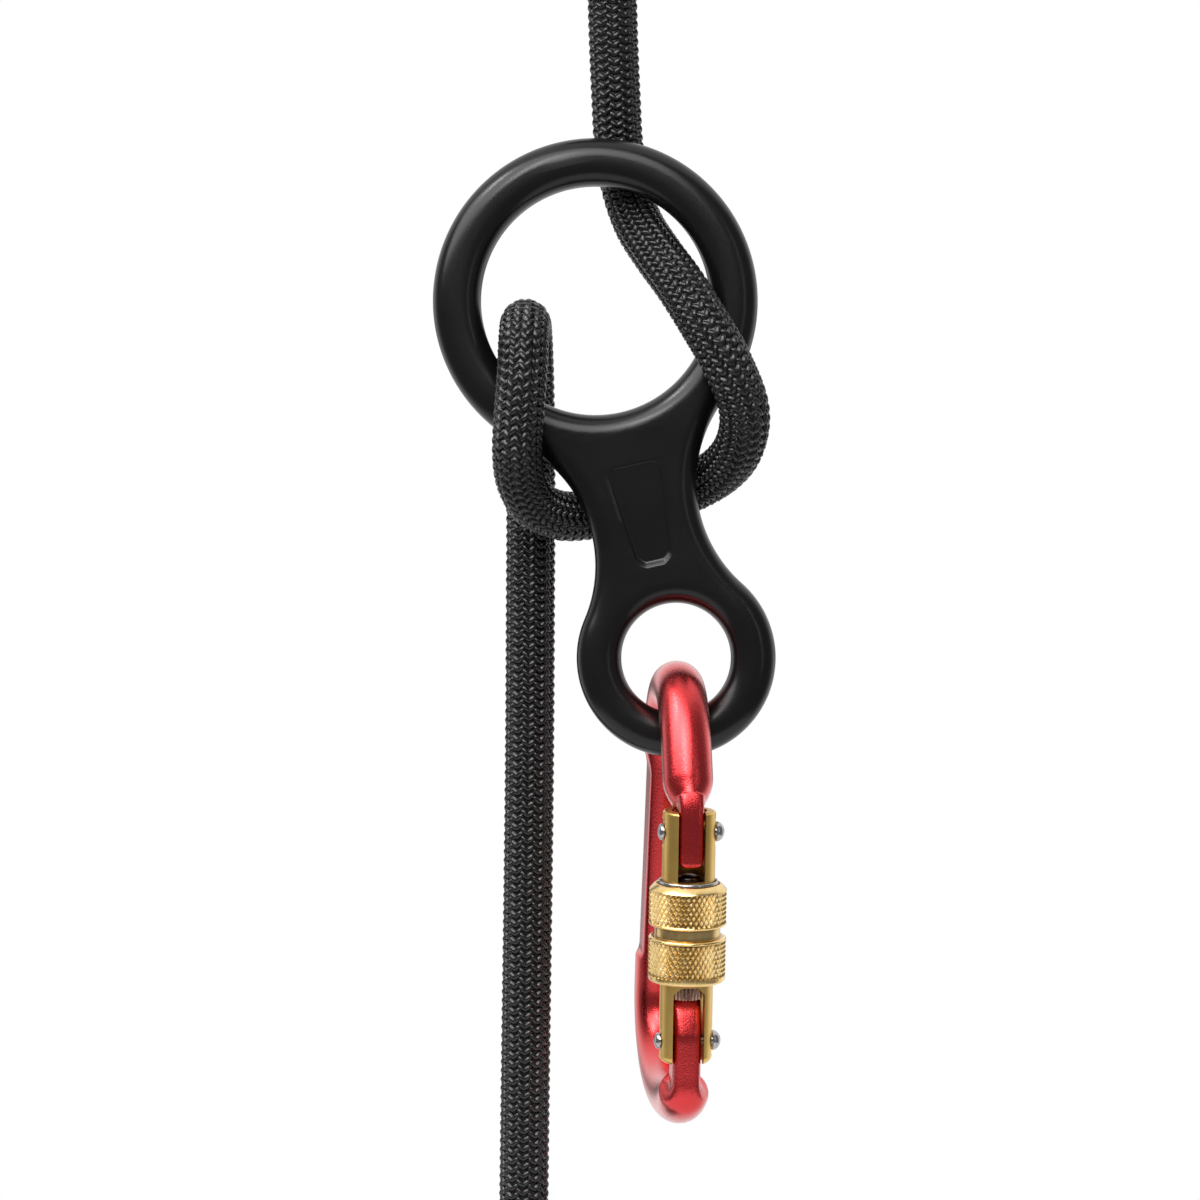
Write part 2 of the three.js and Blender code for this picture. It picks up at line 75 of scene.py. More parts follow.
VIEW_WIDTH = 282.35
CAMERA_DISTANCE = 900
SENSOR = 36


def make_camera():
    """Level with the middle of the front view, straight in front of it"""
    data = bpy.data.cameras.new("camera")
    data.sensor_width = SENSOR
    data.lens = SENSOR * CAMERA_DISTANCE / VIEW_WIDTH
    data.clip_start = 0.05
    data.clip_end = 20
    camera = bpy.data.objects.new("camera", data)
    bpy.context.scene.collection.objects.link(camera)
    camera.location = in_row((0, -CAMERA_DISTANCE, 0))
    camera.rotation_euler = (math.radians(90), 0, 0)
    bpy.context.scene.camera = camera


make_camera()


# Colours and materials


def linear(code):
    """An sRGB hex colour as a linear RGBA"""
    channels = [int(code[i : i + 2], 16) / 255 for i in (1, 3, 5)]
    return tuple(
        c / 12.92 if c <= 0.04045 else ((c + 0.055) / 1.055) ** 2.4 for c in channels
    ) + (1.0,)


def add(tree, kind, settings=None, **links):
    """A node with its settings, a colour ramp's stops among them, and links into its sockets"""
    node = tree.nodes.new(kind)
    for name, value in (settings or {}).items():
        if name == "stops":
            for stop, (position, colour) in zip(node.color_ramp.elements, value):
                stop.position, stop.color = position, linear(colour)
        elif isinstance(name, int) or name in node.inputs:
            node.inputs[name].default_value = value
        else:
            setattr(node, name, value)
    for name, source in links.items():
        key = int(name[1:]) if name[1:].isdigit() else name.replace("_", " ")
        tree.links.new(source, node.inputs[key])
    return node


def new_material(name, **values):
    """A material with one principled shader, whose constant sockets are set here"""
    material = bpy.data.materials.new(name)
    material.use_nodes = True
    shader = material.node_tree.nodes["Principled BSDF"]
    for key, value in values.items():
        shader.inputs[key.replace("_", " ")].default_value = value
    return material, material.node_tree, shader


# A noise's scale is its count of clouds or grains to the millimetre over MM. Grains finer than a
# pixel wouldn't show, so each is drawn as coarse as it needs to be.


# Anodised aluminium, dyed black: the dye swallows most light, and the smooth oxide over a tumbled
# surface gives a satin sheen that brightens only at a grazing angle.
def black_anodised_aluminium():
    material, tree, shader = new_material("black_anodised_aluminium", Metallic=0.0, IOR=1.43)
    place = add(tree, "ShaderNodeTexCoord").outputs["Object"]
    cloud = add(tree, "ShaderNodeTexNoise", {"Scale": 0.07 / MM, "Detail": 2}, Vector=place)
    grain = add(tree, "ShaderNodeTexNoise", {"Scale": 2.6 / MM, "Detail": 3}, Vector=place)
    dyes = ((0.3, "#0f0e0f"), (0.7, "#131212"))
    colour = add(tree, "ShaderNodeValToRGB", {"stops": dyes}, Fac=cloud.outputs["Fac"])
    satin = add(
        tree, "ShaderNodeMapRange", {"To Min": 0.22, "To Max": 0.27}, Value=cloud.outputs["Fac"]
    )
    relief = add(tree, "ShaderNodeBump", {"Distance": 0.015 * MM}, Height=grain.outputs["Fac"])
    tree.links.new(colour.outputs["Color"], shader.inputs["Base Color"])
    tree.links.new(satin.outputs["Result"], shader.inputs["Roughness"])
    tree.links.new(relief.outputs["Normal"], shader.inputs["Normal"])
    return material


# Anodised aluminium, dyed red: a bar tumbled bright, under a clear red oxide. Its highlights break
# up into fine pink sparks.
def red_anodised_aluminium():
    material, tree, shader = new_material(
        "red_anodised_aluminium", Metallic=1.0, Coat_Weight=1.0, Coat_Roughness=0.22, Coat_IOR=1.6
    )
    place = add(tree, "ShaderNodeTexCoord").outputs["Object"]
    cloud = add(tree, "ShaderNodeTexNoise", {"Scale": 0.1 / MM, "Detail": 2}, Vector=place)
    grain = add(tree, "ShaderNodeTexNoise", {"Scale": 3 / MM, "Detail": 3}, Vector=place)
    dyes = ((0.3, "#dc171e"), (0.7, "#e71c24"))
    colour = add(tree, "ShaderNodeValToRGB", {"stops": dyes}, Fac=cloud.outputs["Fac"])
    gloss = add(
        tree, "ShaderNodeMapRange", {"To Min": 0.2, "To Max": 0.32}, Value=grain.outputs["Fac"]
    )
    relief = add(tree, "ShaderNodeBump", {"Distance": 0.05 * MM}, Height=grain.outputs["Fac"])
    tree.links.new(colour.outputs["Color"], shader.inputs["Base Color"])
    tree.links.new(gloss.outputs["Result"], shader.inputs["Roughness"])
    tree.links.new(relief.outputs["Normal"], shader.inputs["Normal"])
    tree.links.new(relief.outputs["Normal"], shader.inputs["Coat Normal"])
    return material


# Brass tube, turned and tumbled satin: olive gold.
def turned_brass():
    material, tree, shader = new_material("turned_brass", Metallic=1.0)
    place = add(tree, "ShaderNodeTexCoord").outputs["Object"]
    cloud = add(tree, "ShaderNodeTexNoise", {"Scale": 0.16 / MM, "Detail": 2}, Vector=place)
    grain = add(tree, "ShaderNodeTexNoise", {"Scale": 2.5 / MM, "Detail": 3}, Vector=place)
    golds = ((0.3, "#e6bd68"), (0.7, "#f0c976"))
    colour = add(tree, "ShaderNodeValToRGB", {"stops": golds}, Fac=cloud.outputs["Fac"])
    satin = add(
        tree, "ShaderNodeMapRange", {"To Min": 0.3, "To Max": 0.4}, Value=grain.outputs["Fac"]
    )
    relief = add(tree, "ShaderNodeBump", {"Distance": 0.006 * MM}, Height=grain.outputs["Fac"])
    tree.links.new(colour.outputs["Color"], shader.inputs["Base Color"])
    tree.links.new(satin.outputs["Result"], shader.inputs["Roughness"])
    tree.links.new(relief.outputs["Normal"], shader.inputs["Normal"])
    return material


# Brass sleeve, rolled with a knurl: warm yellow on its points, and painted shade that turns the
# knurl's valleys and its groove brown.
def knurled_brass():
    material, tree, shader = new_material("knurled_brass", Metallic=1.0)
    place = add(tree, "ShaderNodeTexCoord").outputs["Object"]
    cloud = add(tree, "ShaderNodeTexNoise", {"Scale": 0.6 / MM, "Detail": 3}, Vector=place)
    golds = ((0.3, "#f6cd80"), (0.7, "#fce0a4"))
    colour = add(tree, "ShaderNodeValToRGB", {"stops": golds}, Fac=cloud.outputs["Fac"])
    edge = add(tree, "ShaderNodeNewGeometry")
    # Painted shade: the hollower the surface, the darker and browner its colour.
    shade_browns = ((0.4, "#5c3a12"), (0.52, "#ffffff"))
    painted_shade = add(tree, "ShaderNodeValToRGB", {"stops": shade_browns}, Fac=edge.outputs["Pointiness"])
    shaded_gold = add(
        tree,
        "ShaderNodeVectorMath",
        {"operation": "MULTIPLY"},
        _0=colour.outputs["Color"],
        _1=painted_shade.outputs["Color"],
    )
    gloss = add(
        tree, "ShaderNodeMapRange", {"To Min": 0.18, "To Max": 0.3}, Value=cloud.outputs["Fac"]
    )
    tree.links.new(shaded_gold.outputs["Vector"], shader.inputs["Base Color"])
    tree.links.new(gloss.outputs["Result"], shader.inputs["Roughness"])
    return material


def turned_steel(name, grains, dark, bright, polished, dull):
    """Steel with this many grains to the millimetre, from dark and polished to bright and dull"""
    material, tree, shader = new_material(name, Metallic=1.0)
    place = add(tree, "ShaderNodeTexCoord").outputs["Object"]
    grain = add(tree, "ShaderNodeTexNoise", {"Scale": grains / MM, "Detail": 3}, Vector=place)
    greys = ((0.3, dark), (0.7, bright))
    colour = add(tree, "ShaderNodeValToRGB", {"stops": greys}, Fac=grain.outputs["Fac"])
    gloss = add(
        tree, "ShaderNodeMapRange", {"To Min": polished, "To Max": dull}, Value=grain.outputs["Fac"]
    )
    tree.links.new(colour.outputs["Color"], shader.inputs["Base Color"])
    tree.links.new(gloss.outputs["Result"], shader.inputs["Roughness"])
    return material


# Braided nylon sheath, dyed black: floats of filament yarn with a soft sheen.
def braided_nylon():
    material, tree, shader = new_material("braided_nylon", Metallic=0.0, IOR=1.56)
    place = add(tree, "ShaderNodeTexCoord").outputs["Object"]
    cloud = add(tree, "ShaderNodeTexNoise", {"Scale": 0.33 / MM, "Detail": 2}, Vector=place)
    dyes = ((0.3, "#0b0b0c"), (0.7, "#151516"))
    colour = add(tree, "ShaderNodeValToRGB", {"stops": dyes}, Fac=cloud.outputs["Fac"])
    yarn = add(tree, "ShaderNodeTexNoise", {"Scale": 2.6 / MM, "Detail": 2}, Vector=place)
    relief = add(tree, "ShaderNodeBump", {"Distance": 0.05 * MM}, Height=yarn.outputs["Fac"])
    sheen = add(
        tree, "ShaderNodeMapRange", {"To Min": 0.22, "To Max": 0.32}, Value=cloud.outputs["Fac"]
    )
    tree.links.new(relief.outputs["Normal"], shader.inputs["Normal"])
    tree.links.new(colour.outputs["Color"], shader.inputs["Base Color"])
    tree.links.new(sheen.outputs["Result"], shader.inputs["Roughness"])
    return material


# Heat shrink tube in polyolefin: smooth black plastic that shows the stitching under it.
def heat_shrink_polyolefin():
    material, tree, shader = new_material("heat_shrink_polyolefin", Metallic=0.0, IOR=1.5)
    place = add(tree, "ShaderNodeTexCoord").outputs["Object"]
    cloud = add(tree, "ShaderNodeTexNoise", {"Scale": 0.2 / MM, "Detail": 2}, Vector=place)
    blacks = ((0.3, "#161617"), (0.7, "#1d1d1f"))
    colour = add(tree, "ShaderNodeValToRGB", {"stops": blacks}, Fac=cloud.outputs["Fac"])
    satin = add(
        tree, "ShaderNodeMapRange", {"To Min": 0.35, "To Max": 0.5}, Value=cloud.outputs["Fac"]
    )
    tree.links.new(colour.outputs["Color"], shader.inputs["Base Color"])
    tree.links.new(satin.outputs["Result"], shader.inputs["Roughness"])
    return material


# Steel blackened in the bore: dark, with a thin oily shine.
BLACKED_STEEL = turned_steel("blacked_steel", 3.3, "#2c2a2a", "#3a3736", 0.18, 0.3)
# Steel browned by oil and wear in the bore.
BROWNED_STEEL = turned_steel("browned_steel", 1.9, "#94756a", "#c9ab9c", 0.2, 0.35)
BLACK_ANODISED = black_anodised_aluminium()
RED_ANODISED = red_anodised_aluminium()
TURNED_BRASS = turned_brass()
KNURLED_BRASS = knurled_brass()
# Stainless steel, turned and polished: neutral grey with sharp reflections.
POLISHED_STEEL = turned_steel("polished_steel", 3.3, "#a9a9ac", "#c6c6c9", 0.14, 0.24)
BRAIDED_NYLON = braided_nylon()
HEAT_SHRINK = heat_shrink_polyolefin()

SLOTS = {
    "black_anodised_aluminium": BLACK_ANODISED,
    "red_anodised_aluminium": RED_ANODISED,
    "gate_brass": TURNED_BRASS,
    "sleeve_brass": KNURLED_BRASS,
    "pin_steel": POLISHED_STEEL,
    "rope_sheath": BRAIDED_NYLON,
    "shrink_tube": HEAT_SHRINK,
}


# Making meshes


TO_ROW = Matrix.Scale(MM, 4) @ Matrix.Translation(VIEW_MIDDLE)


def raw(points, faces):
    """A bare mesh object in millimetres, still to be cut or dressed"""
    mesh = bpy.data.meshes.new("raw")
    mesh.from_pydata([tuple(p) for p in points], [], faces)
    mesh.validate()
    made = bpy.data.objects.new("raw", mesh)
    bpy.context.scene.collection.objects.link(made)
    return made


def settle(made):
    """The object with its modifiers applied"""
    mesh = bpy.data.meshes.new_from_object(
        made.evaluated_get(bpy.context.evaluated_depsgraph_get())
    )
    made.modifiers.clear()
    made.data = mesh
    return made


def cut_away(made, tools):
    """Takes the tools' shapes out of a piece"""
    for tool in tools:
        modifier = made.modifiers.new("cut", "BOOLEAN")
        modifier.object = tool
        modifier.operation = "DIFFERENCE"
        modifier.solver = "EXACT"
    settle(made)
    for tool in tools:
        bpy.data.objects.remove(tool)
    return made


def soften(made, width):
    """Rounds a piece's sharp edges"""
    modifier = made.modifiers.new("edges", "BEVEL")
    modifier.width = width
    modifier.segments = 2
    modifier.limit_method = "ANGLE"
    modifier.angle_limit = math.radians(35)
    modifier.harden_normals = False
    return settle(made)


def dress(made, name, slot, body, node, place=Matrix(), sharp=None, material=None):
    """Puts a raw piece in its place with its name, finish, body and the node it stands for"""
    made.name = name
    made.data.name = name
    made.data.transform(TO_ROW @ place)
    made.data.materials.clear()
    made.data.materials.append(material or SLOTS[slot])
    made.data.polygons.foreach_set("use_smooth", [True] * len(made.data.polygons))
    if sharp:
        made.data.set_sharp_from_angle(angle=math.radians(sharp))
    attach(made, body)
    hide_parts(node)
    return made


def even_normals(made):
    """Lets the large faces lead the shading, so flats stay flat beside rounded edges"""
    modifier = made.modifiers.new("flats", "WEIGHTED_NORMAL")
    modifier.keep_sharp = True
    return made


def rings_to_faces(rings, closed_path=False):
    """Faces between rings of points; the rings follow one another in the points' order"""
    count = len(rings[0])
    faces = []
    last = len(rings) if closed_path else len(rings) - 1
    for r in range(last):
        a = r * count
        b = ((r + 1) % len(rings)) * count
        for i in range(count):
            k = (i + 1) % count
            faces.append((a + i, a + k, b + k, b + i))
    if not closed_path:
        faces.append(tuple(reversed(range(count))))
        faces.append(tuple(range((len(rings) - 1) * count, len(rings) * count)))
    return faces


def loft(rings, closed_path=False):
    """A piece drawn through rings of points"""
    return raw([p for ring in rings for p in ring], rings_to_faces(rings, closed_path))


def turned(profile, steps):
    """A piece turned about Z from (radius, height) points that run round its section"""
    rings = []
    for k in range(steps):
        a = 2 * math.pi * k / steps
        rings.append([(r * math.cos(a), r * math.sin(a), z) for r, z in profile])
    return tidy(loft(rings, closed_path=True))


def tidy(made):
    """Joins doubled points and turns all faces outwards"""
    mesh = bmesh.new()
    mesh.from_mesh(made.data)
    bmesh.ops.remove_doubles(mesh, verts=mesh.verts, dist=1e-4)
    bmesh.ops.dissolve_degenerate(mesh, edges=mesh.edges, dist=1e-5)
    bmesh.ops.recalc_face_normals(mesh, faces=mesh.faces)
    mesh.to_mesh(made.data)
    mesh.free()
    return made


def arc(centre, radius, start, end, steps):
    """Points on an arc in a plane, both ends included"""
    return [
        (
            centre[0] + radius * math.cos(start + (end - start) * i / steps),
            centre[1] + radius * math.sin(start + (end - start) * i / steps),
        )
        for i in range(steps + 1)
    ]


def prism(outline, low, high):
    """A straight prism along Z from an outline in XY"""
    return tidy(loft([[(x, y, z) for x, y in outline] for z in (low, high)]))


def stand_up(made):
    """Turns a piece drawn in the XY plane to face the viewer"""
    made.data.transform(Matrix.Rotation(math.radians(90), 4, "X"))
    return made


# Rope


ROPE_RADIUS = 6
# The rope's middle, from its upper end through the eight to its lower end.
ROPE_ROUTE = [
    (2.9, 12.4, 145), (3.2, 12.4, 134), (3.8, 12.3, 120), (4.5, 12.4, 108), (6.1, 11.9, 98.6),
    (8.9, 8.4, 89.8), (13.4, 1.4, 81.8), (18.6, -6.4, 73.8), (24.0, -12, 64.6), (29.6, -13.4, 54.6),
    (33.5, -10.0, 44.6), (32.9, -3.4, 36.6), (29.1, 4.4, 31.2), (23.0, 10.8, 27.4), (14.6, 12.5, 24.2),
    (5.0, 12.3, 21.8), (-3.6, 11.1, 20.2), (-10.0, 7.0, 20.1), (-15.4, 2.0, 22.6), (-18.5, -4.2, 28.0),
    (-19.2, -10.1, 35.4), (-18.7, -12.4, 43.6), (-18.1, -12.6, 52.4), (-17.8, -9.0, 60.6),
    (-17.5, -1.0, 64.9), (-17.2, 7.6, 62.5), (-16.9, 13.0, 54.6), (-16.7, 15.8, 44.4),
    (-16.6, 17.6, 32.0), (-16.6, 18.2, 18.0), (-16.7, 18.2, 0), (-16.9, 18.2, -35), (-17.3, 18.2, -70),
    (-17.8, 18.2, -105), (-18.3, 18.2, -145),
]


def smooth_line(points, spacing):
    """A smooth curve through the points, as points this far apart"""
    points = [Vector(p) for p in points]
    ends = [2 * points[0] - points[1], *points, 2 * points[-1] - points[-2]]
    fine = []
    for i in range(1, len(ends) - 2):
        p0, p1, p2, p3 = ends[i - 1 : i + 3]
        d0, d1, d2 = ((b - a).length ** 0.5 for a, b in ((p0, p1), (p1, p2), (p2, p3)))
        leave = ((p1 - p0) / d0 - (p2 - p0) / (d0 + d1) + (p2 - p1) / d1) * d1
        arrive = ((p2 - p1) / d1 - (p3 - p1) / (d1 + d2) + (p3 - p2) / d2) * d1
        for k in range(24):
            t = k / 24
            fine.append(
                p1
                + leave * t
                + (-3 * p1 + 3 * p2 - 2 * leave - arrive) * t**2
                + (2 * p1 - 2 * p2 + leave + arrive) * t**3
            )
    fine.append(points[-1])
    lengths = [0.0]
    for a, b in zip(fine, fine[1:]):
        lengths.append(lengths[-1] + (b - a).length)
    count = max(2, round(lengths[-1] / spacing))
    line = []
    k = 0
    for i in range(count + 1):
        want = lengths[-1] * i / count
        while k < len(fine) - 2 and lengths[k + 1] < want:
            k += 1
        share = (want - lengths[k]) / max(1e-9, lengths[k + 1] - lengths[k])
        line.append(fine[k].lerp(fine[k + 1], min(1, max(0, share))))
    return line, lengths[-1]


def frames_along(line):
    """At each point of the line two sides square to it, which don't twist about it"""
    frames = []
    side = Vector((1, 0, 0))
    for i, point in enumerate(line):
        along = (line[min(i + 1, len(line) - 1)] - line[max(i - 1, 0)]).normalized()
        side = (side - along * side.dot(along)).normalized()
        frames.append((point, side, along.cross(side)))
    return frames


def about_line(frames, spacing, along, angle, height):
    """The point this far along the line, at this angle about it and this height over it"""
    k = min(max(along / spacing, 0), len(frames) - 1.001)
    i = int(k)
    share = k - i
    (first, side, other), (second, next_side, next_other) = frames[i : i + 2]
    out = side.lerp(next_side, share) * math.cos(angle)
    out += other.lerp(next_other, share) * math.sin(angle)
    return first.lerp(second, share) + out.normalized() * height


# The sheath: floats of yarn in pairs of leaning columns, each column half a step off the next.
BRAID_COLUMNS = 24
BRAID_PITCH = 2.1
CORE_RADIUS = 5.22
CORE_SIDES = 16
FLOAT_HALF_LENGTH = 1.66
FLOAT_HALF_WIDTH = 0.76
FLOAT_LEAN = math.radians(51)
FLOAT_RISE = 0.8
FLOAT_LONG_STEPS = 5
FLOAT_WIDE_STEPS = 4
FLOAT_END_HALF_WIDTH = 0.12
FLOAT_END_SINK = 0.1
FLOAT_BED = 0.02


def yarn_float(lean):
    """A leaning float's points: along the rope, angle about it, and height over its centre"""
    # Its ends are round, it is a little fuller at its start, and its edges dip towards the core.
    points = []
    for i in range(FLOAT_LONG_STEPS + 1):
        u = 2 * i / FLOAT_LONG_STEPS - 1
        width = max(FLOAT_END_HALF_WIDTH, FLOAT_HALF_WIDTH * (1 - abs(u) ** 2.6) ** 0.5)
        rise = -FLOAT_END_SINK
        if abs(u) < 1:
            rise = FLOAT_RISE * (1 - u * u) ** 0.5 * (1 - 0.18 * u)
        for j in range(FLOAT_WIDE_STEPS + 1):
            v = 2 * j / FLOAT_WIDE_STEPS - 1
            x, y = u * FLOAT_HALF_LENGTH, v * width
            along = x * math.cos(lean) - y * math.sin(lean)
            across = x * math.sin(lean) + y * math.cos(lean)
            height = CORE_RADIUS - FLOAT_BED + rise * (1 - 0.85 * v * v)
            points.append((along, across / ROPE_RADIUS, height))
    return points


def float_faces(start):
    """The faces of a float whose first point has this number"""
    faces = []
    for i in range(FLOAT_LONG_STEPS):
        for j in range(FLOAT_WIDE_STEPS):
            a = start + i * (FLOAT_WIDE_STEPS + 1) + j
            b = a + FLOAT_WIDE_STEPS + 1
            faces.append((a, a + 1, b + 1, b))
    return faces


def braided(name, line, node):
    """A braided rope along a line: a dark core tube, and over it every float of the sheath"""
    frames = frames_along(line)
    spacing = (line[1] - line[0]).length
    total = spacing * (len(line) - 1)
    angles = [2 * math.pi * i / CORE_SIDES for i in range(CORE_SIDES)]
    points = [
        point + CORE_RADIUS * (side * math.cos(a) + other * math.sin(a))
        for point, side, other in frames
        for a in angles
    ]
    faces = rings_to_faces([angles] * len(frames))
    rows = int(total / BRAID_PITCH)
    pitch = total / rows
    for column in range(BRAID_COLUMNS):
        yarn = yarn_float(FLOAT_LEAN if column % 2 else -FLOAT_LEAN)
        middle = 2 * math.pi * (column + 0.5) / BRAID_COLUMNS
        shift = (0.25 if column % 2 else 0.75) + (0.5 if column // 2 % 2 else 0)
        for row in range(-1, rows + 1):
            faces += float_faces(len(points))
            for along, angle, height in yarn:
                reach = min(max((row + shift) * pitch + along, 0), total)
                points.append(about_line(frames, spacing, reach, middle + angle, height))
    return dress(raw(points, faces), name, "rope_sheath", "rig", node)


rope_line, rope_length = smooth_line(ROPE_ROUTE, 2.0)
rope = braided("rope_braid", rope_line, "rope")


# Sewn eyes


EYE_SLEEVE = 30
EYE_LENGTH = 25
EYE_WIDTH = 18
GAP = 0.3
STRAND = ROPE_RADIUS + GAP
SHRINK_WALL = 1.2
SHRINK_STEPS = 40
SHRINK_SIDES = 48
# The tube goes round one strand at the rope's end of it, and round both strands from here on.
SPREAD_LENGTH = 6
WAIST = 0.1
WAIST_WIDTH = 0.35
STITCH_RISE = 0.12
STITCH_PITCH = 2.618
TUBE_END_ROUND = 0.5
TUBE_END_LENGTH = 0.8


def shrink_tube(where, place):
    """The tube over the rope and the loop's tail beside it, ribbed by the stitches under it"""
    rings = []
    for k in range(SHRINK_STEPS + 1):
        t = k / SHRINK_STEPS
        z = GAP + (EYE_SLEEVE - GAP) * t
        spread = min(1, (z - GAP) / SPREAD_LENGTH) ** 0.8
        rib = STITCH_RISE * math.sin(2 * math.pi * z / STITCH_PITCH) * math.sin(math.pi * t)
        from_end = min(z - GAP, EYE_SLEEVE - z) / TUBE_END_LENGTH
        radius = ROPE_RADIUS + SHRINK_WALL + rib - TUBE_END_ROUND * max(0, 1 - from_end) ** 2
        ring = []
        for i in range(SHRINK_SIDES):
            a = 2 * math.pi * i / SHRINK_SIDES
            waist = WAIST * spread * math.exp(-((math.cos(a) / WAIST_WIDTH) ** 2))
            strand = STRAND if math.cos(a) >= 0 else STRAND - 2 * STRAND * spread
            ring.append((strand + radius * math.cos(a), radius * math.sin(a) * (1 - waist), z))
        rings.append(ring)
    tube = tidy(loft(rings))
    dress(tube, f"{where}_shrink_tube", "shrink_tube", "rig", f"{where}_eye_sleeve", place, sharp=50)


def sewn_eye(where, end, way):
    """The loop at a rope end, above it or below, and the shrink tube over its stitched length"""
    loop_start = EYE_SLEEVE + 2 * GAP
    loop_half = EYE_WIDTH / 2 + ROPE_RADIUS
    bow = loop_start + EYE_LENGTH + ROPE_RADIUS - loop_half
    low = loop_start + ROPE_RADIUS / 2
    leg = [
        (STRAND, 0, loop_start - ROPE_RADIUS / 2),
        (STRAND, 0, low),
        ((STRAND + loop_half) / 2, 0, (low + bow) / 2),
    ]
    top = [(x, 0, z) for x, z in arc((0, bow), loop_half, 0, math.pi, 6)]
    route = [*leg, *top, *[(-x, y, z) for x, y, z in reversed(leg)]]
    place = Matrix.Translation(Vector(end) - Vector((way * STRAND, 0, 0)))
    if way < 0:
        place = place @ Matrix.Rotation(math.pi, 4, "Y")
    line = smooth_line([place @ Vector(p) for p in route], 1.6)[0]
    braided(f"{where}_eye_braid", line, f"{where}_eye")
    shrink_tube(where, place)


sewn_eye("upper", ROPE_ROUTE[0], 1)
sewn_eye("lower", ROPE_ROUTE[-1], -1)


# The eight


BIG_RADIUS = 38.2
BIG_HOLE = 26.9
SMALL_RADIUS = 23.4
SMALL_HOLE = 12.9
RING_SPACING = 86.1
NECK_HALF = 13
EIGHT_HALF = 5.5
EDGE_ROUND = 4.82
EIGHT_TILT = math.radians(12.75)
BIG_CENTRE = Vector((-1.1, 0, 70.4))
PANEL_START = 39.4
PANEL_LENGTH = 24.4
PANEL_TOP_HALF = 6.65
PANEL_BOTTOM_HALF = 4.05
PANEL_DEPTH = 0.7
PANEL_CORNER = 2.3
PANEL_SAG = 1.2
PANEL_TOP_RISE = 0.4
PANEL_FOOT_SINK = 0.2
# The recess's wall, as (height over its floor, how far outside its outline).
PANEL_WALL = [(0, -0.75), (0.1, -0.45), (0.35, -0.2), (0.62, 0.05), (0.72, 0.3), (1.6, 1.2)]


def eight_outline():
    """The outline about the big ring's centre: two arcs joined by the neck's hollow sides"""
    reach = (RING_SPACING**2 + BIG_RADIUS**2 - SMALL_RADIUS**2) / (2 * RING_SPACING)
    slope = (BIG_RADIUS - SMALL_RADIUS) / RING_SPACING
    b = 2 * reach * slope - 2 * (BIG_RADIUS - NECK_HALF)
    c = reach**2 - BIG_RADIUS**2 + NECK_HALF**2
    radius = 2 * c / (-b + math.sqrt(b * b - 4 * slope * slope * c))
    across, down = NECK_HALF + radius, reach + slope * radius
    high = math.atan2(-down, across)
    low = math.atan2(-(down - RING_SPACING), across)
    pi = math.pi
    return [
        *arc((0, 0), BIG_RADIUS, high, pi - high, 168)[:-1],
        *arc((-across, -down), radius, -high, -low, 36)[:-1],
        *arc((0, -RING_SPACING), SMALL_RADIUS, pi - low, 2 * pi + low, 108)[:-1],
        *arc((across, -down), radius, pi + low, pi + high, 36)[:-1],
    ]


def rounded_corners(corners, radius):
    """An outline with its corners rounded"""
    steps = 6
    outline = []
    for i, corner in enumerate(corners):
        here = Vector(corner)
        back = (Vector(corners[i - 1]) - here).normalized()
        on = (Vector(corners[(i + 1) % len(corners)]) - here).normalized()
        half = back.angle(on) / 2
        centre = here + (back + on).normalized() * radius / math.sin(half)
        start = here + back * radius / math.tan(half) - centre
        end = here + on * radius / math.tan(half) - centre
        for k in range(steps + 1):
            outline.append(centre + start.lerp(end, k / steps).normalized() * radius)
    return outline


def panel_tool():
    """The recess in the neck's front: its floor slopes, and its lower end sags round"""
    rings = []
    for rise, grow in PANEL_WALL:
        top = PANEL_TOP_HALF + grow
        bottom = PANEL_BOTTOM_HALF + grow
        high = -PANEL_START + grow
        low = -PANEL_START - PANEL_LENGTH - grow * 1.3
        corners = [(-top, high), (-bottom, low), (bottom, low), (top, high)]
        ring = []
        for x, y in rounded_corners(corners, PANEL_CORNER + grow):
            down = (high - y) / (high - low)
            slope = PANEL_TOP_RISE * (1 - down) - PANEL_FOOT_SINK * down
            floor = EIGHT_HALF - PANEL_DEPTH + slope
            ring.append((x, y + PANEL_SAG * (x / bottom) ** 2 * down**8, floor + rise))
        rings.append(ring)
    return tidy(loft(rings))


def forged_eight():
    """The outline and its two holes, filled with a rounded edge, and the recess cut out"""
    drawn = bpy.data.curves.new("eight_outline", "CURVE")
    drawn.dimensions = "2D"
    drawn.fill_mode = "BOTH"
    big_hole = arc((0, 0), BIG_HOLE, 0, 2 * math.pi, 160)[:-1]
    small_hole = arc((0, -RING_SPACING), SMALL_HOLE, 0, 2 * math.pi, 96)[:-1]
    for loop in (eight_outline(), big_hole, small_hole):
        spline = drawn.splines.new("POLY")
        spline.points.add(len(loop) - 1)
        for point, (x, y) in zip(spline.points, loop):
            point.co = (x, y, 0, 1)
        spline.use_cyclic_u = True
    drawn.extrude = EIGHT_HALF - EDGE_ROUND
    drawn.bevel_depth = EDGE_ROUND
    drawn.bevel_resolution = 7
    drawn.offset = -EDGE_ROUND
    made = bpy.data.objects.new("raw", drawn)
    bpy.context.scene.collection.objects.link(made)
    mesh = bpy.data.meshes.new_from_object(
        made.evaluated_get(bpy.context.evaluated_depsgraph_get())
    )
    bpy.data.objects.remove(made)
    made = bpy.data.objects.new("raw", mesh)
    bpy.context.scene.collection.objects.link(made)
    tidy(made)
    cut_away(made, [panel_tool()])
    stand_up(made)
    place = Matrix.Translation(BIG_CENTRE) @ Matrix.Rotation(-EIGHT_TILT, 4, "Y")
    slot = "black_anodised_aluminium"
    return even_normals(dress(made, "forged_eight", slot, "rig", "descender", place, sharp=50))


forged_eight()


# The connector's body


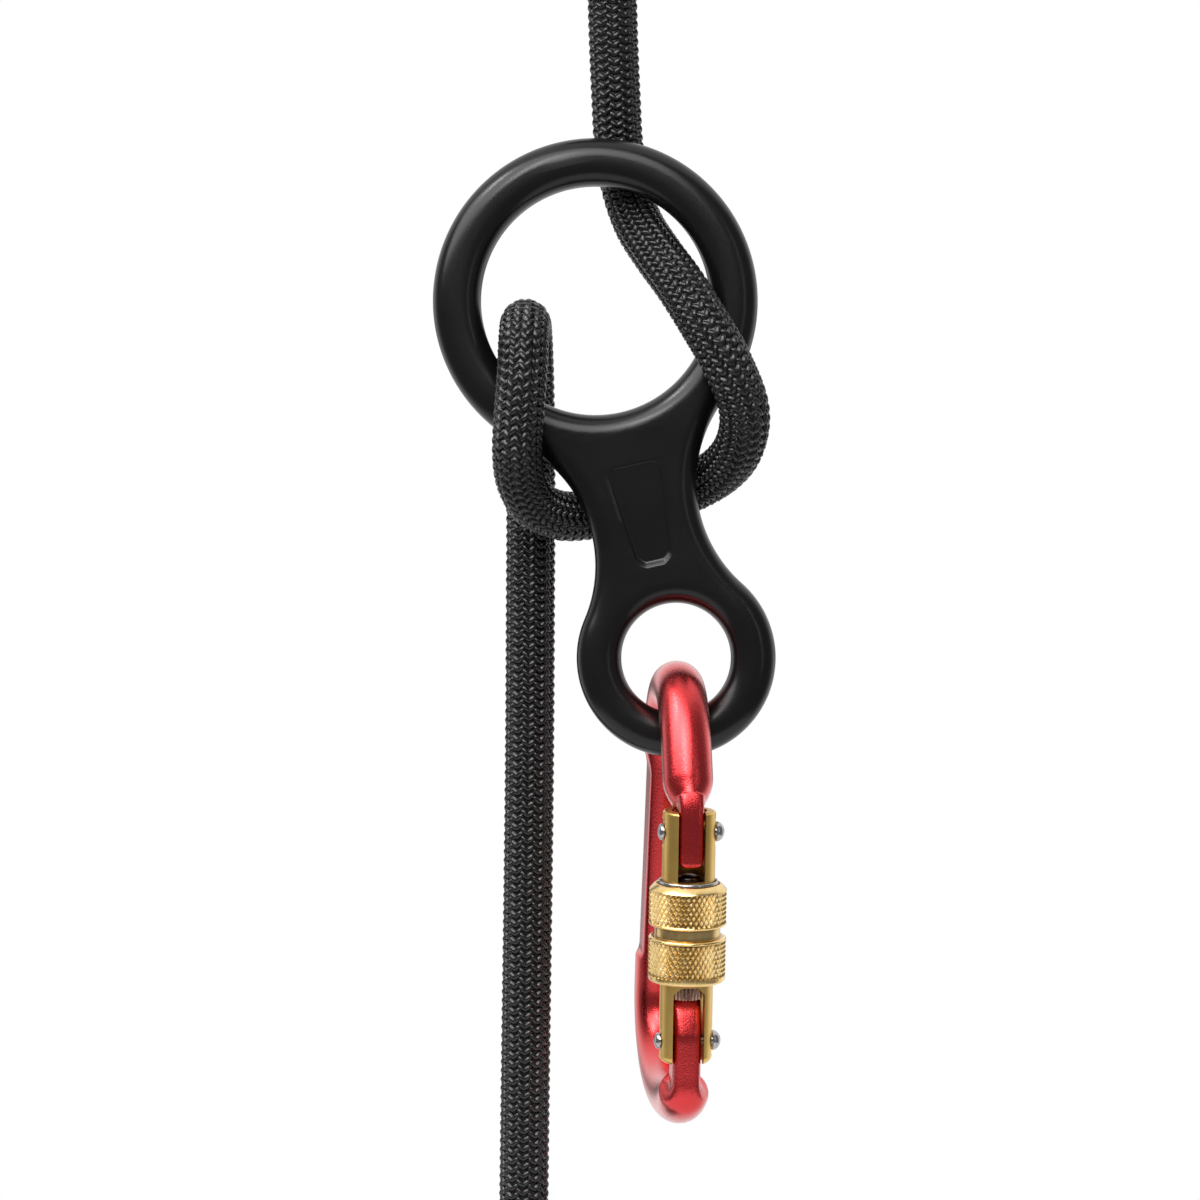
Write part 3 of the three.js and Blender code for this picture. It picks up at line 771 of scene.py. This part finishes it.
# The connector is drawn in its own plane, as (back, up) from its pivot: the gate is in front, so
# minus. A section is (half width, half depth, squareness), and with a squareness of 2 it is round.
BAR = 5.85
BAR_SECTION = (BAR, BAR, 2)
YAW = math.radians(7)
SPINE_REACH = 13
SPINE_LEAN = math.tan(math.radians(14.3))
NOSE_REACH = 19.7
SHOULDER_DROP = 34
SPINE_SHOULDER_DROP = 20
CONNECTOR_LENGTH = 108.7
BOTTOM_RISE = 25
BOTTOM_MIDDLE = 2.3
RIVET_REACH = 13.7
RIVET_DROP = 70.3
LEAN = math.radians(7)
HANG_GAP = 0.5
PIVOT_RIGHT = 0.2
CROWN = (SMALL_RADIUS - SMALL_HOLE) / 2 + HANG_GAP + BAR
RING_CENTRE = BIG_CENTRE + Vector(
    (RING_SPACING * math.sin(EIGHT_TILT), 0, -RING_SPACING * math.cos(EIGHT_TILT))
)
PIVOT = RING_CENTRE + Vector((PIVOT_RIGHT, 0, -(SMALL_RADIUS + SMALL_HOLE) / 2))
CONNECTOR = Matrix.Translation(PIVOT) @ Matrix.Rotation(YAW, 4, "Z")
GATE = (
    CONNECTOR
    @ Matrix.Translation((0, -RIVET_REACH, -RIVET_DROP))
    @ Matrix.Rotation(LEAN, 4, "X")
)
SHOULDER = CROWN - SHOULDER_DROP
SPINE_TOP = CROWN - SPINE_SHOULDER_DROP
BOTTOM = CROWN + 2 * BAR - CONNECTOR_LENGTH
SPINE_FOOT = BOTTOM + BOTTOM_RISE

# Heights along the gate are from its hinge rivet.
BARREL_TOP = 54.1
NOSE = (3.0, 4.9, 5)
NOSE_OUT = 0.3
NOSE_END = 41.2
NOSE_END_ROUND = 1.3
NOSE_HEIGHTS = (46, 50)
FLARE = BARREL_TOP + 0.8
FLARE_RISE = 5.9
FLARE_STEPS = 24
HINGE = (3.4, 4.6, 3.8)
HINGE_FOOT = -9.4
HINGE_TAPER = 3.2
HINGE_HEIGHTS = (-9.2, -7, -4.5, -2, 0, 2)
TONGUE_TOP = 9.6
# The slanting end of the hinge tongue, as (height, half depth).
HINGE_TONGUE_END = [
    (2.3, 4.52), (3.5, 4.1), (5, 3.5), (6.5, 2.85), (7.6, 2.3), (8.4, 1.75), (9, 1.25), (9.4, 0.8),
    (TONGUE_TOP, 0.5),
]
PIN_HEIGHT = 49.1
PIN = 1.3
NOTCH = PIN + 0.5
NOTCH_DEPTH = 9.2
FLAT_TOP = SPINE_TOP + 6.5
FLAT_LENGTH = 52.2
FLAT_TOP_HALF = 4.15
FLAT_FOOT_HALF = 4.6
FLAT_RAMP = 7
FLAT_STEP = 0.9


def on_gate(height):
    """A point of the connector's plane on the gate's axis, this far above the hinge rivet"""
    return (-RIVET_REACH - height * math.sin(LEAN), -RIVET_DROP + height * math.cos(LEAN))


def above_rivet(across, up):
    """How far a point of the connector's plane lies above the hinge rivet along the gate"""
    return (up + RIVET_DROP) * math.cos(LEAN) - (across + RIVET_REACH) * math.sin(LEAN)


def on_nose(height):
    """The middle of the nose tongue, which stands a little out in front of the gate's axis"""
    across, up = on_gate(height)
    return (across - NOSE_OUT, up)


def smooth_step(t):
    """From 0 to 1, with a soft start and end"""
    t = min(1, max(0, t))
    return t * t * (3 - 2 * t)


def mixed(first, second, share):
    """The values between two rows of values, this share of the way"""
    return tuple(a + (b - a) * share for a, b in zip(first, second))


def squared(angle, wide, high, power):
    """A point at this angle of an oval, which is squarer the higher its power"""
    c, s = math.cos(angle), math.sin(angle)
    return (
        wide * math.copysign(abs(c) ** (2 / power), c),
        high * math.copysign(abs(s) ** (2 / power), s),
    )


def squared_bend(centre, reach, rise, start, end, power, steps):
    """A stretch of an oval's line, without its first point"""
    points = []
    for i in range(1, steps + 1):
        across, up = squared(start + (end - start) * i / steps, reach, rise, power)
        points.append((centre[0] + across, centre[1] + up))
    return points


def nose_stations():
    """The nose tongue, from its rounded end up to its flare"""
    stations = []
    for k in range(7):
        a = math.pi / 2 * k / 6
        wide = NOSE[0] * (0.25 + 0.75 * math.sin(a))
        deep = NOSE[1] - 0.9 * (1 - math.sin(a))
        height = NOSE_END + NOSE_END_ROUND * (1 - math.cos(a))
        stations.append((on_nose(height), (wide, deep, NOSE[2])))
    return stations + [(on_nose(h), NOSE) for h in (*NOSE_HEIGHTS, FLARE)]


def arm_line():
    """The arm over the flare and round to the crown, straighter low down than a round arm"""
    steps, round_from = 72, 54
    sloping, round_arm = [
        squared_bend((0, SHOULDER), NOSE_REACH, SHOULDER_DROP, math.pi, math.pi / 2, power, steps)
        for power in (1.6, 2.1)
    ]
    pairs = enumerate(zip(sloping, round_arm))
    line = [mixed(a, b, min(1, k / round_from)) for k, (a, b) in pairs]
    return [p for p in line if p[1] > on_gate(FLARE + FLARE_RISE)[1]]


def flare_stations(arm):
    """From the flat tongue to the round bar, on a curve that runs into the arm"""
    start, end = on_nose(FLARE), arm[0]
    reach = (end[1] - start[1]) / 2 / (arm[1][1] - end[1])
    bend = (end[0] - reach * (arm[1][0] - end[0]), end[1] - reach * (arm[1][1] - end[1]))
    stations = []
    for k in range(1, FLARE_STEPS):
        t = (k / FLARE_STEPS) ** 1.3
        place = mixed(mixed(start, bend, t), mixed(bend, end, t), t)
        shares = (1 - (1 - t) ** 2, 1 - (1 - t) ** 1.5, smooth_step(t / 0.18))
        shape = tuple(a + (b - a) * share for a, b, share in zip(NOSE, BAR_SECTION, shares))
        stations.append((place, shape))
    return stations


def spine_line():
    """From the crown down the spine and round to the bottom's middle, leaning with the spine"""
    quarter, steps = math.pi / 2, 60
    line = squared_bend((0, SPINE_TOP), SPINE_REACH, SPINE_SHOULDER_DROP, quarter, 0, 2.3, 30)
    for k in range(1, steps):
        line.append((SPINE_REACH, SPINE_TOP + (SPINE_FOOT - SPINE_TOP) * k / steps))
    middle = BOTTOM_MIDDLE - SPINE_LEAN * (CROWN - BOTTOM)
    reach = SPINE_REACH - middle
    line += squared_bend((middle, SPINE_FOOT), reach, BOTTOM_RISE, 0, -quarter, 2, 40)
    return [(across + SPINE_LEAN * (CROWN - up), up) for across, up in line]


def foot_stations():
    """From the bottom's middle round to the gate, and up the hinge tongue to its end"""
    foot = on_gate(HINGE_FOOT)
    reach, rise = BOTTOM_MIDDLE - foot[0], foot[1] - BOTTOM
    front = squared_bend((BOTTOM_MIDDLE, foot[1]), reach, rise, -math.pi / 2, -math.pi, 2.2, 30)
    stations = []
    for place in front[:-1]:
        share = smooth_step((math.dist(place, foot) - 0.4) / HINGE_TAPER)
        stations.append((place, mixed(HINGE, BAR_SECTION, share)))
    stations += [(on_gate(h), HINGE) for h in HINGE_HEIGHTS]
    stations += [(on_gate(h), (HINGE[0], deep, HINGE[2])) for h, deep in HINGE_TONGUE_END]
    return stations


def body_stations():
    """Points along the bent bar's middle with their sections, nose first"""
    arm = arm_line()
    bar = [(place, BAR_SECTION) for place in arm + spine_line()]
    return [*nose_stations(), *flare_stations(arm), *bar, *foot_stations()]


def soft_least(value, limit, blend):
    """The lesser of a value and its limit, rounded where they meet"""
    share = min(1, max(0, 0.5 + 0.5 * (limit - value) / blend))
    return limit + (value - limit) * share - blend * share * (1 - share)


def flat_half_width(place):
    """Half the width that the spine's side flats leave at a point, or None away from them"""
    across, up = place
    if across < SPINE_REACH or not FLAT_TOP - FLAT_LENGTH < up < FLAT_TOP:
        return None
    down = (FLAT_TOP - up) / FLAT_LENGTH
    flat = FLAT_TOP_HALF + (FLAT_FOOT_HALF - FLAT_TOP_HALF) * down
    ramp = smooth_step((FLAT_TOP - up) / FLAT_RAMP)
    step = smooth_step((up - FLAT_TOP + FLAT_LENGTH) / FLAT_STEP)
    return BAR + (flat - BAR) * ramp * step


def bar_ring(place, section, along):
    """The points round the bent bar at a station, where the bar runs at this angle"""
    sides = 64
    wide, deep, power = section
    flat = flat_half_width(place)
    ring = []
    for i in range(sides):
        x, out = squared(2 * math.pi * i / sides, wide, deep, power)
        if flat is not None:
            x = math.copysign(soft_least(abs(x), flat, 0.5), x)
        y, z = place[0] - out * math.sin(along), place[1] + out * math.cos(along)
        # The flare's inner side stays out of the barrel's slot.
        if place[0] < 0 and NOSE_END < above_rivet(y, z) < BARREL_TOP + GAP:
            x = max(-NOSE[0], min(NOSE[0], x))
        ring.append((x, y, z))
    return ring


def bent_bar():
    """The bar from its nose round to its hinge tongue, with the latch notch and rivet hole cut"""
    stations = body_stations()
    rings = []
    for k, (place, section) in enumerate(stations):
        before = stations[max(0, k - 1)][0]
        after = stations[min(len(stations) - 1, k + 1)][0]
        along = math.atan2(after[1] - before[1], after[0] - before[0])
        rings.append(bar_ring(place, section, along))
    made = tidy(loft(rings))
    through, past = 14, 8
    tools = [
        cross_bar(NOTCH, through, PIN_HEIGHT),
        box_tool((-past, 0, PIN_HEIGHT - NOTCH), (past, NOTCH_DEPTH, PIN_HEIGHT + NOTCH)),
        cross_bar(PIN + GAP, through, 0),
    ]
    for tool in tools:
        tool.data.transform(CONNECTOR.inverted() @ GATE)
    tidy(cut_away(made, tools))
    slot = "red_anodised_aluminium"
    return dress(made, "bent_bar", slot, "connector", "connector_body", CONNECTOR, sharp=38)


def box_tool(low, high):
    """A box between two corners, to cut with"""
    corners = [(low[0], low[1]), (high[0], low[1]), (high[0], high[1]), (low[0], high[1])]
    return prism(corners, low[2], high[2])


def lay_across(made, height):
    """Turns a piece about Z to lie across the gate at this height"""
    turn = Matrix.Rotation(math.radians(90), 4, "Y")
    made.data.transform(Matrix.Translation((0, 0, height)) @ turn)
    return made


def cross_bar(radius, length, height):
    """A round bar along X at this height, to cut with"""
    outline = arc((0, 0), radius, 0, 2 * math.pi, 32)[:-1]
    return lay_across(prism(outline, -length / 2, length / 2), height)


bent_bar()


# The gate


BARREL = 6.15
BORE = 4.1
BARREL_FOOT = 5
BARREL_FOOT_ROUND = 1.8
BARREL_TOP_ROUND = 0.7
BARREL_EDGE = 0.16
LATCH_SLOT = 3.15
LATCH_SLOT_FOOT = 37.9
NOSE_ROOM = 0.6
HINGE_SLOT = 3.65
HINGE_SLOT_TOP = 13.6
HINGE_CHAMFER = 1.8
FLAT_HALF = 3.2
FLAT_DEPTH = 0.3


def slotted_barrel():
    """The gate's tube: a window for the hinge tongue, a slot for the nose, and pin flats"""
    low, high = BARREL_FOOT_ROUND, BARREL_TOP_ROUND
    foot = arc((BARREL - low, low - BARREL_FOOT), low, -math.pi / 2, 0, 8)
    top = arc((BARREL - high, BARREL_TOP - high), high, 0, math.pi / 2, 5)
    made = turned([(BORE, -BARREL_FOOT), *foot, *top, (BORE, BARREL_TOP)], 128)
    past, under, half = 9, -12, HINGE_SLOT
    shoulder = HINGE_SLOT_TOP - HINGE_CHAMFER
    window = [
        (-half, under), (half, under), (half, shoulder), (half - HINGE_CHAMFER, HINGE_SLOT_TOP),
        (HINGE_CHAMFER - half, HINGE_SLOT_TOP), (-half, shoulder),
    ]
    over = BARREL_TOP + 4
    tools = [
        stand_up(prism(window, -past, past)),
        box_tool((-LATCH_SLOT, -past, LATCH_SLOT_FOOT), (LATCH_SLOT, 0, over)),
        box_tool((-LATCH_SLOT, -1, NOSE_END - NOSE_ROOM), (LATCH_SLOT, past, over)),
    ]
    for pin in (0, PIN_HEIGHT):
        tools.append(cross_bar(PIN + GAP, 2 * past, pin))
        for side in (-1, 1):
            inner, outer = sorted((side * (BARREL - FLAT_DEPTH), side * past))
            corner, far_corner = (inner, -past, pin - FLAT_HALF), (outer, past, pin + FLAT_HALF)
            tools.append(box_tool(corner, far_corner))
    tidy(cut_away(made, tools))
    soften(made, BARREL_EDGE)
    return even_normals(
        dress(made, "slotted_barrel", "gate_brass", "gate", "gate_barrel", GATE, sharp=35)
    )


# The neck and the domes of a pin's heads, as (radius, height).
PIN_NECK = (2.2, 0.15)
PIN_DOME = (2.35, 1.9)
PIN_FAR_DOME = (1.95, 1.2)


def domed_pin(name, height, node):
    """A cross pin with a domed head on a low neck, and a flatter head at its far end"""
    seat = BARREL - FLAT_DEPTH + GAP
    angles = [math.pi / 2 * k / 12 for k in range(12)]
    (neck, rise), (wide, high), (far_wide, far_high) = PIN_NECK, PIN_DOME, PIN_FAR_DOME
    right = [(wide * math.cos(a), seat + high * math.sin(a) + rise) for a in angles]
    left = [(far_wide * math.cos(a), -seat - far_high * math.sin(a)) for a in reversed(angles)]
    profile = [
        (0, -seat - far_high), *left, (PIN, -seat),
        (PIN, seat), (neck, seat), *right, (0, seat + high + rise),
    ]
    made = lay_across(turned(profile, 64), height)
    return dress(made, name, "pin_steel", "gate", node, GATE, sharp=45)


DRIVER_FOOT = TONGUE_TOP + GAP
DRIVER_HEAD = DRIVER_FOOT + 4.5
DRIVER_STEM = 1.3
DRIVER_STEM_TOP = DRIVER_HEAD + 8.7
DRIVER_FLUTES = 24
FLUTE_DEPTH = 0.4
# The driver from its foot to its stem's end, as (radius, height, share of the flutes' depth).
DRIVER_PROFILE = [
    (3.1, DRIVER_FOOT, 0), (3.6, DRIVER_FOOT + 0.2, 0.6), (3.8, DRIVER_FOOT + 0.5, 1),
    (3.8, DRIVER_HEAD - 0.5, 1), (3.5, DRIVER_HEAD, 0.3), (1.35, DRIVER_HEAD, 0),
    (DRIVER_STEM, DRIVER_HEAD + 0.4, 0), (DRIVER_STEM, DRIVER_STEM_TOP, 0),
    (0.9, DRIVER_STEM_TOP + 0.3, 0),
]


def fluted_driver():
    """The driver's head is fluted, and stands on the hinge tongue's end"""
    columns = DRIVER_FLUTES * 6
    rings = []
    for radius, height, share in DRIVER_PROFILE:
        ring = []
        for i in range(columns):
            a = 2 * math.pi * i / columns
            groove = FLUTE_DEPTH * share * (0.5 + 0.5 * math.cos(DRIVER_FLUTES * a)) ** 2
            ring.append(((radius - groove) * math.cos(a), (radius - groove) * math.sin(a), height))
        rings.append(ring)
    return dress(
        tidy(loft(rings)), "fluted_driver", "pin_steel", "driver", "gate_driver", GATE,
        sharp=30, material=BROWNED_STEEL,
    )


PLUG_FOOT = NOSE_END - 5.4
SPRING_RADIUS = 2.55
WIRE_RADIUS = 0.35
WIRE_SIDES = 10
SPRING_CURLS = 13
CURL_STEPS = 28


def closing_spring():
    """The coiled spring between the driver's head and the plug; on the real gate it shortens as the
    gate swings open, as the driver under it rises
    """
    low = DRIVER_HEAD + GAP + WIRE_RADIUS
    high = PLUG_FOOT - GAP - WIRE_RADIUS
    rings = []
    for i in range(SPRING_CURLS * CURL_STEPS + 1):
        a = 2 * math.pi * i / CURL_STEPS
        middle = low + (high - low) * i / (SPRING_CURLS * CURL_STEPS)
        ring = []
        for b in range(WIRE_SIDES):
            w = 2 * math.pi * b / WIRE_SIDES
            out = SPRING_RADIUS + WIRE_RADIUS * math.cos(w)
            ring.append((out * math.cos(a), out * math.sin(a), middle - WIRE_RADIUS * math.sin(w)))
        rings.append(ring)
    made = tidy(loft(rings))
    dress(made, "closing_spring", "pin_steel", "gate", "gate_spring", GATE)
    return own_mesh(made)


def bore_plug():
    """A plug with rounded rims and a low dome on top"""
    rim, wide, dome, top = 3.6, 3.8, 3.2, PLUG_FOOT + 2.6
    profile = [(0, PLUG_FOOT), (rim, PLUG_FOOT), (wide, PLUG_FOOT + 0.2)]
    profile += [(wide, top - 0.2), (rim, top)]
    for k in range(8):
        a = math.pi / 2 * k / 8
        profile.append((dome * math.cos(a), top + 0.9 * math.sin(a)))
    return dress(
        turned([*profile, (0, top + 0.9)], 64), "bore_plug", "pin_steel", "gate", "spring_plug", GATE,
        sharp=35, material=BLACKED_STEEL,
    )


# The sleeve's knurl: diamonds rolled by two crossed wheels, taller than they are wide.
SLEEVE = 9
SLEEVE_FOOT = 14.3
SLEEVE_TOP = 37.2
GROOVE = 7.6
GROOVE_FOOT = 24.8
GROOVE_TOP = 27.4
RING_SEAT = 7.35
KNURLS = 43
KNURL_HEIGHT = 2.2
KNURL_DEPTH = 0.5
KNURL_STEPS = 4


def knurled_band(low, high):
    """Rows of the section that carry the knurl, as (radius, height, knurled)"""
    count = round((high - low) / (KNURL_HEIGHT / KNURL_STEPS))
    return [(SLEEVE, low + (high - low) * k / count, True) for k in range(count + 1)]


def sleeve_section():
    """Round the sleeve's section from the bore's foot, as (radius, height, knurled)"""
    bore = BARREL + GAP
    quarter = math.pi / 2
    foot = [
        (bore, SLEEVE_FOOT + 0.3), (bore + 0.3, SLEEVE_FOOT),
        *arc((8.1, SLEEVE_FOOT + 0.8), 0.8, -quarter, -0.15, 6), (SLEEVE - 0.12, SLEEVE_FOOT + 1.5),
    ]
    groove = [
        (SLEEVE - 0.08, GROOVE_FOOT - 0.75),
        *arc((SLEEVE - 0.65, GROOVE_FOOT - 0.65), 0.65, 0.1, quarter, 5),
        (GROOVE + 0.15, GROOVE_FOOT), (GROOVE, GROOVE_FOOT + 0.15), (GROOVE, GROOVE_FOOT + 0.5),
        (GROOVE, GROOVE_FOOT + 0.9), (GROOVE, GROOVE_TOP - 0.9), (GROOVE, GROOVE_TOP - 0.5),
        (GROOVE, GROOVE_TOP - 0.15), (GROOVE + 0.15, GROOVE_TOP),
        *arc((SLEEVE - 0.6, GROOVE_TOP + 0.6), 0.6, -quarter, -0.1, 5),
        (SLEEVE - 0.08, GROOVE_TOP + 0.7),
    ]
    mouth = [
        (SLEEVE - 0.06, SLEEVE_TOP - 1.46), (SLEEVE - 0.14, SLEEVE_TOP - 1.3),
        (SLEEVE - 0.36, SLEEVE_TOP - 1.02), (SLEEVE - 1.2, SLEEVE_TOP - 0.14),
        (SLEEVE - 1.36, SLEEVE_TOP - 0.03), (SLEEVE - 1.5, SLEEVE_TOP), (RING_SEAT + 0.1, SLEEVE_TOP),
        (RING_SEAT, SLEEVE_TOP - 0.1), (RING_SEAT, SLEEVE_TOP - 0.6), (bore, SLEEVE_TOP - 0.6),
    ]
    return [
        *[(r, z, False) for r, z in foot],
        *knurled_band(SLEEVE_FOOT + 1.6, GROOVE_FOOT - 0.85),
        *[(r, z, False) for r, z in groove],
        *knurled_band(GROOVE_TOP + 0.8, SLEEVE_TOP - 1.5),
        *[(r, z, False) for r, z in mouth],
    ]


def knurled_sleeve():
    """The section turned about the gate, with its knurled rows drawn in between the diamonds"""
    rows = sleeve_section()
    columns = KNURLS * KNURL_STEPS
    points, faces = [], []
    for k, (radius, height, knurled) in enumerate(rows):
        for i in range(columns):
            r = radius
            if knurled:
                u = ((i + k) % KNURL_STEPS) / KNURL_STEPS
                v = ((i - k) % KNURL_STEPS) / KNURL_STEPS
                r -= KNURL_DEPTH * (1 - 2 * min(u, 1 - u, v, 1 - v))
            a = 2 * math.pi * i / columns
            points.append((r * math.cos(a), r * math.sin(a), height))
    for k in range(len(rows)):
        n = (k + 1) % len(rows)
        split = rows[k][2] and rows[n][2]
        for i in range(columns):
            j = (i + 1) % columns
            a, b, c, d = k * columns + i, k * columns + j, n * columns + j, n * columns + i
            if not split:
                faces.append((a, b, c, d))
            elif (i + k + 1) % KNURL_STEPS == 0:
                faces += [(a, b, d), (b, c, d)]
            else:
                faces += [(a, b, c), (a, c, d)]
    made = tidy(raw(points, faces))
    return dress(made, "knurled_sleeve", "sleeve_brass", "sleeve", "locking_sleeve", GATE, sharp=24)


SNAP_RING_BORE = 6.45
SNAP_RING_HALF = (0.3, 0.5)
SNAP_RING_SEAT = 0.3


def snap_ring():
    """A flattened wire ring in the sleeve's mouth, standing a little out of it"""
    wide, high = SNAP_RING_HALF
    outline = []
    for k in range(16):
        a = 2 * math.pi * k / 16
        across = SNAP_RING_BORE + wide + wide * math.cos(a)
        outline.append((across, SLEEVE_TOP - SNAP_RING_SEAT + high + high * math.sin(a)))
    return dress(turned(outline, 128), "snap_ring", "pin_steel", "sleeve", "sleeve_ring", GATE)


slotted_barrel()
domed_pin("latch_cross_pin", PIN_HEIGHT, "latch_pin")
domed_pin("hinge_cross_pin", 0, "hinge_rivet")
fluted_driver()
closing_spring()
bore_plug()
knurled_sleeve()
snap_ring()


# Studio


WALLS_NEAR = 0.2
SCREEN = 0.12
AMBIENT = 0.06


def mirrored_room(tree):
    """How bright metal sees the room: pale walls, dim by the viewer, and a dark screen behind"""
    place = add(tree, "ShaderNodeTexCoord").outputs["Generated"]
    way = add(tree, "ShaderNodeSeparateXYZ", Vector=place).outputs
    high = add(tree, "ShaderNodeMath", {"operation": "POWER", 1: 4}, _0=way["Z"])
    lifted = add(
        tree, "ShaderNodeMath", {"operation": "MULTIPLY_ADD", 1: 1.4}, _0=high.outputs[0], _2=way["Y"]
    )
    walls = add(
        tree,
        "ShaderNodeMapRange",
        {"interpolation_type": "SMOOTHSTEP", "From Min": 0.12, "From Max": 0.6, "To Min": WALLS_NEAR},
        Value=lifted.outputs[0],
    )
    steep = add(tree, "ShaderNodeMath", {"operation": "ABSOLUTE"}, _0=way["Z"])
    straight = add(
        tree, "ShaderNodeMath", {"operation": "MULTIPLY_ADD", 1: -1.2}, _0=steep.outputs[0], _2=way["Y"]
    )
    span = {"From Min": 0.7, "From Max": 0.95, "To Min": 1.0, "To Max": SCREEN}
    screen = add(
        tree,
        "ShaderNodeMapRange",
        {"interpolation_type": "SMOOTHSTEP", **span},
        Value=straight.outputs[0],
    )
    return add(
        tree,
        "ShaderNodeMath",
        {"operation": "MULTIPLY"},
        _0=walls.outputs["Result"],
        _1=screen.outputs["Result"],
    )


def make_world():
    """White to the camera, the room to metal, and a little light from all round"""
    scene = bpy.context.scene
    scene.view_settings.view_transform = "Standard"
    world = bpy.data.worlds.new("studio")
    scene.world = world
    world.use_nodes = True
    tree = world.node_tree
    tree.nodes.clear()
    rays = add(tree, "ShaderNodeLightPath").outputs
    seen = add(
        tree,
        "ShaderNodeMath",
        {"operation": "MAXIMUM"},
        _0=rays["Is Camera Ray"],
        _1=rays["Is Transmission Ray"],
    )
    glossy = add(
        tree,
        "ShaderNodeMath",
        {"operation": "MULTIPLY"},
        _0=mirrored_room(tree).outputs[0],
        _1=rays["Is Glossy Ray"],
    )
    white = add(
        tree, "ShaderNodeMath", {"operation": "MAXIMUM"}, _0=seen.outputs[0], _1=glossy.outputs[0]
    )
    strength = add(tree, "ShaderNodeMath", {"operation": "MAXIMUM", 1: AMBIENT}, _0=white.outputs[0])
    background = add(
        tree, "ShaderNodeBackground", {"Color": (1, 1, 1, 1)}, Strength=strength.outputs[0]
    )
    add(tree, "ShaderNodeOutputWorld", Surface=background.outputs["Background"])


# Name, place and size in millimetres, and power in watts. Each faces the middle of the view.
LAMPS = [
    ("key_softbox", (-354, -567, 602), (1500, 620), 11.5),
    ("left_spot", (-480, -323, 689), (160, 100), 1.0),
    ("strip_light", (-155, -730, 503), (90, 260), 1.0),
    ("fill_softbox", (600, -650, 180), (50, 600), 0.2),
]


def make_lamps():
    """Soft boxes: a broad one high on the left, two for the left highlights, and a faint fill"""
    for name, place, (wide, high), power in LAMPS:
        lamp = bpy.data.lights.new(name, "AREA")
        lamp.shape = "RECTANGLE"
        lamp.size, lamp.size_y = wide * MM, high * MM
        lamp.energy = power
        held = bpy.data.objects.new(name, lamp)
        bpy.context.scene.collection.objects.link(held)
        held.location = in_row(place)
        aim = in_row((0, 0, 0)) - held.location
        held.rotation_euler = aim.to_track_quat("-Z", "Y").to_euler()


FLOOR_RADIUS = 280
FLOOR_DROP = 0.5
# The paper fades to white where it is this far from the rope's anchor.
FADE_START = 430
FADE_END = 490


def pale_paper():
    """It glows white to the camera and in reflections, less in its middle, to show the shadow"""
    material, tree, shader = new_material("pale_paper", Roughness=0.9)
    shader.inputs["Base Color"].default_value = linear("#f4f4f4")
    rays = add(tree, "ShaderNodeLightPath").outputs
    glow = add(tree, "ShaderNodeEmission", {"Color": (1, 1, 1, 1), "Strength": 1.0})
    either = add(
        tree,
        "ShaderNodeMath",
        {"operation": "MAXIMUM"},
        _0=rays["Is Camera Ray"],
        _1=rays["Is Glossy Ray"],
    )
    place = add(tree, "ShaderNodeTexCoord").outputs["Object"]
    away = add(tree, "ShaderNodeVectorMath", {"operation": "LENGTH"}, _0=place)
    fade = add(
        tree,
        "ShaderNodeMapRange",
        {
            "interpolation_type": "SMOOTHSTEP",
            "From Min": FADE_START * MM,
            "From Max": FADE_END * MM,
            "To Min": 0.75,
        },
        Value=away.outputs["Value"],
    )
    share = add(
        tree,
        "ShaderNodeMath",
        {"operation": "MULTIPLY"},
        _0=either.outputs[0],
        _1=fade.outputs["Result"],
    )
    paper = add(
        tree,
        "ShaderNodeMixShader",
        _0=share.outputs[0],
        _1=shader.outputs["BSDF"],
        _2=glow.outputs["Emission"],
    )
    tree.links.new(paper.outputs["Shader"], tree.nodes["Material Output"].inputs["Surface"])
    return material


def make_floor():
    """A round sheet of paper just under the lower eye"""
    mesh = bpy.data.meshes.new("studio_floor")
    low = cad_box[0][2] - FLOOR_DROP * MM
    rim = arc((0, 0), FLOOR_RADIUS * MM, 0, 2 * math.pi, 96)[:-1]
    mesh.from_pydata([(x, y, low) for x, y in rim], [], [tuple(range(len(rim)))])
    mesh.materials.append(pale_paper())
    floor = bpy.data.objects.new("studio_floor", mesh)
    bpy.context.scene.collection.objects.link(floor)


make_world()
make_lamps()
make_floor()
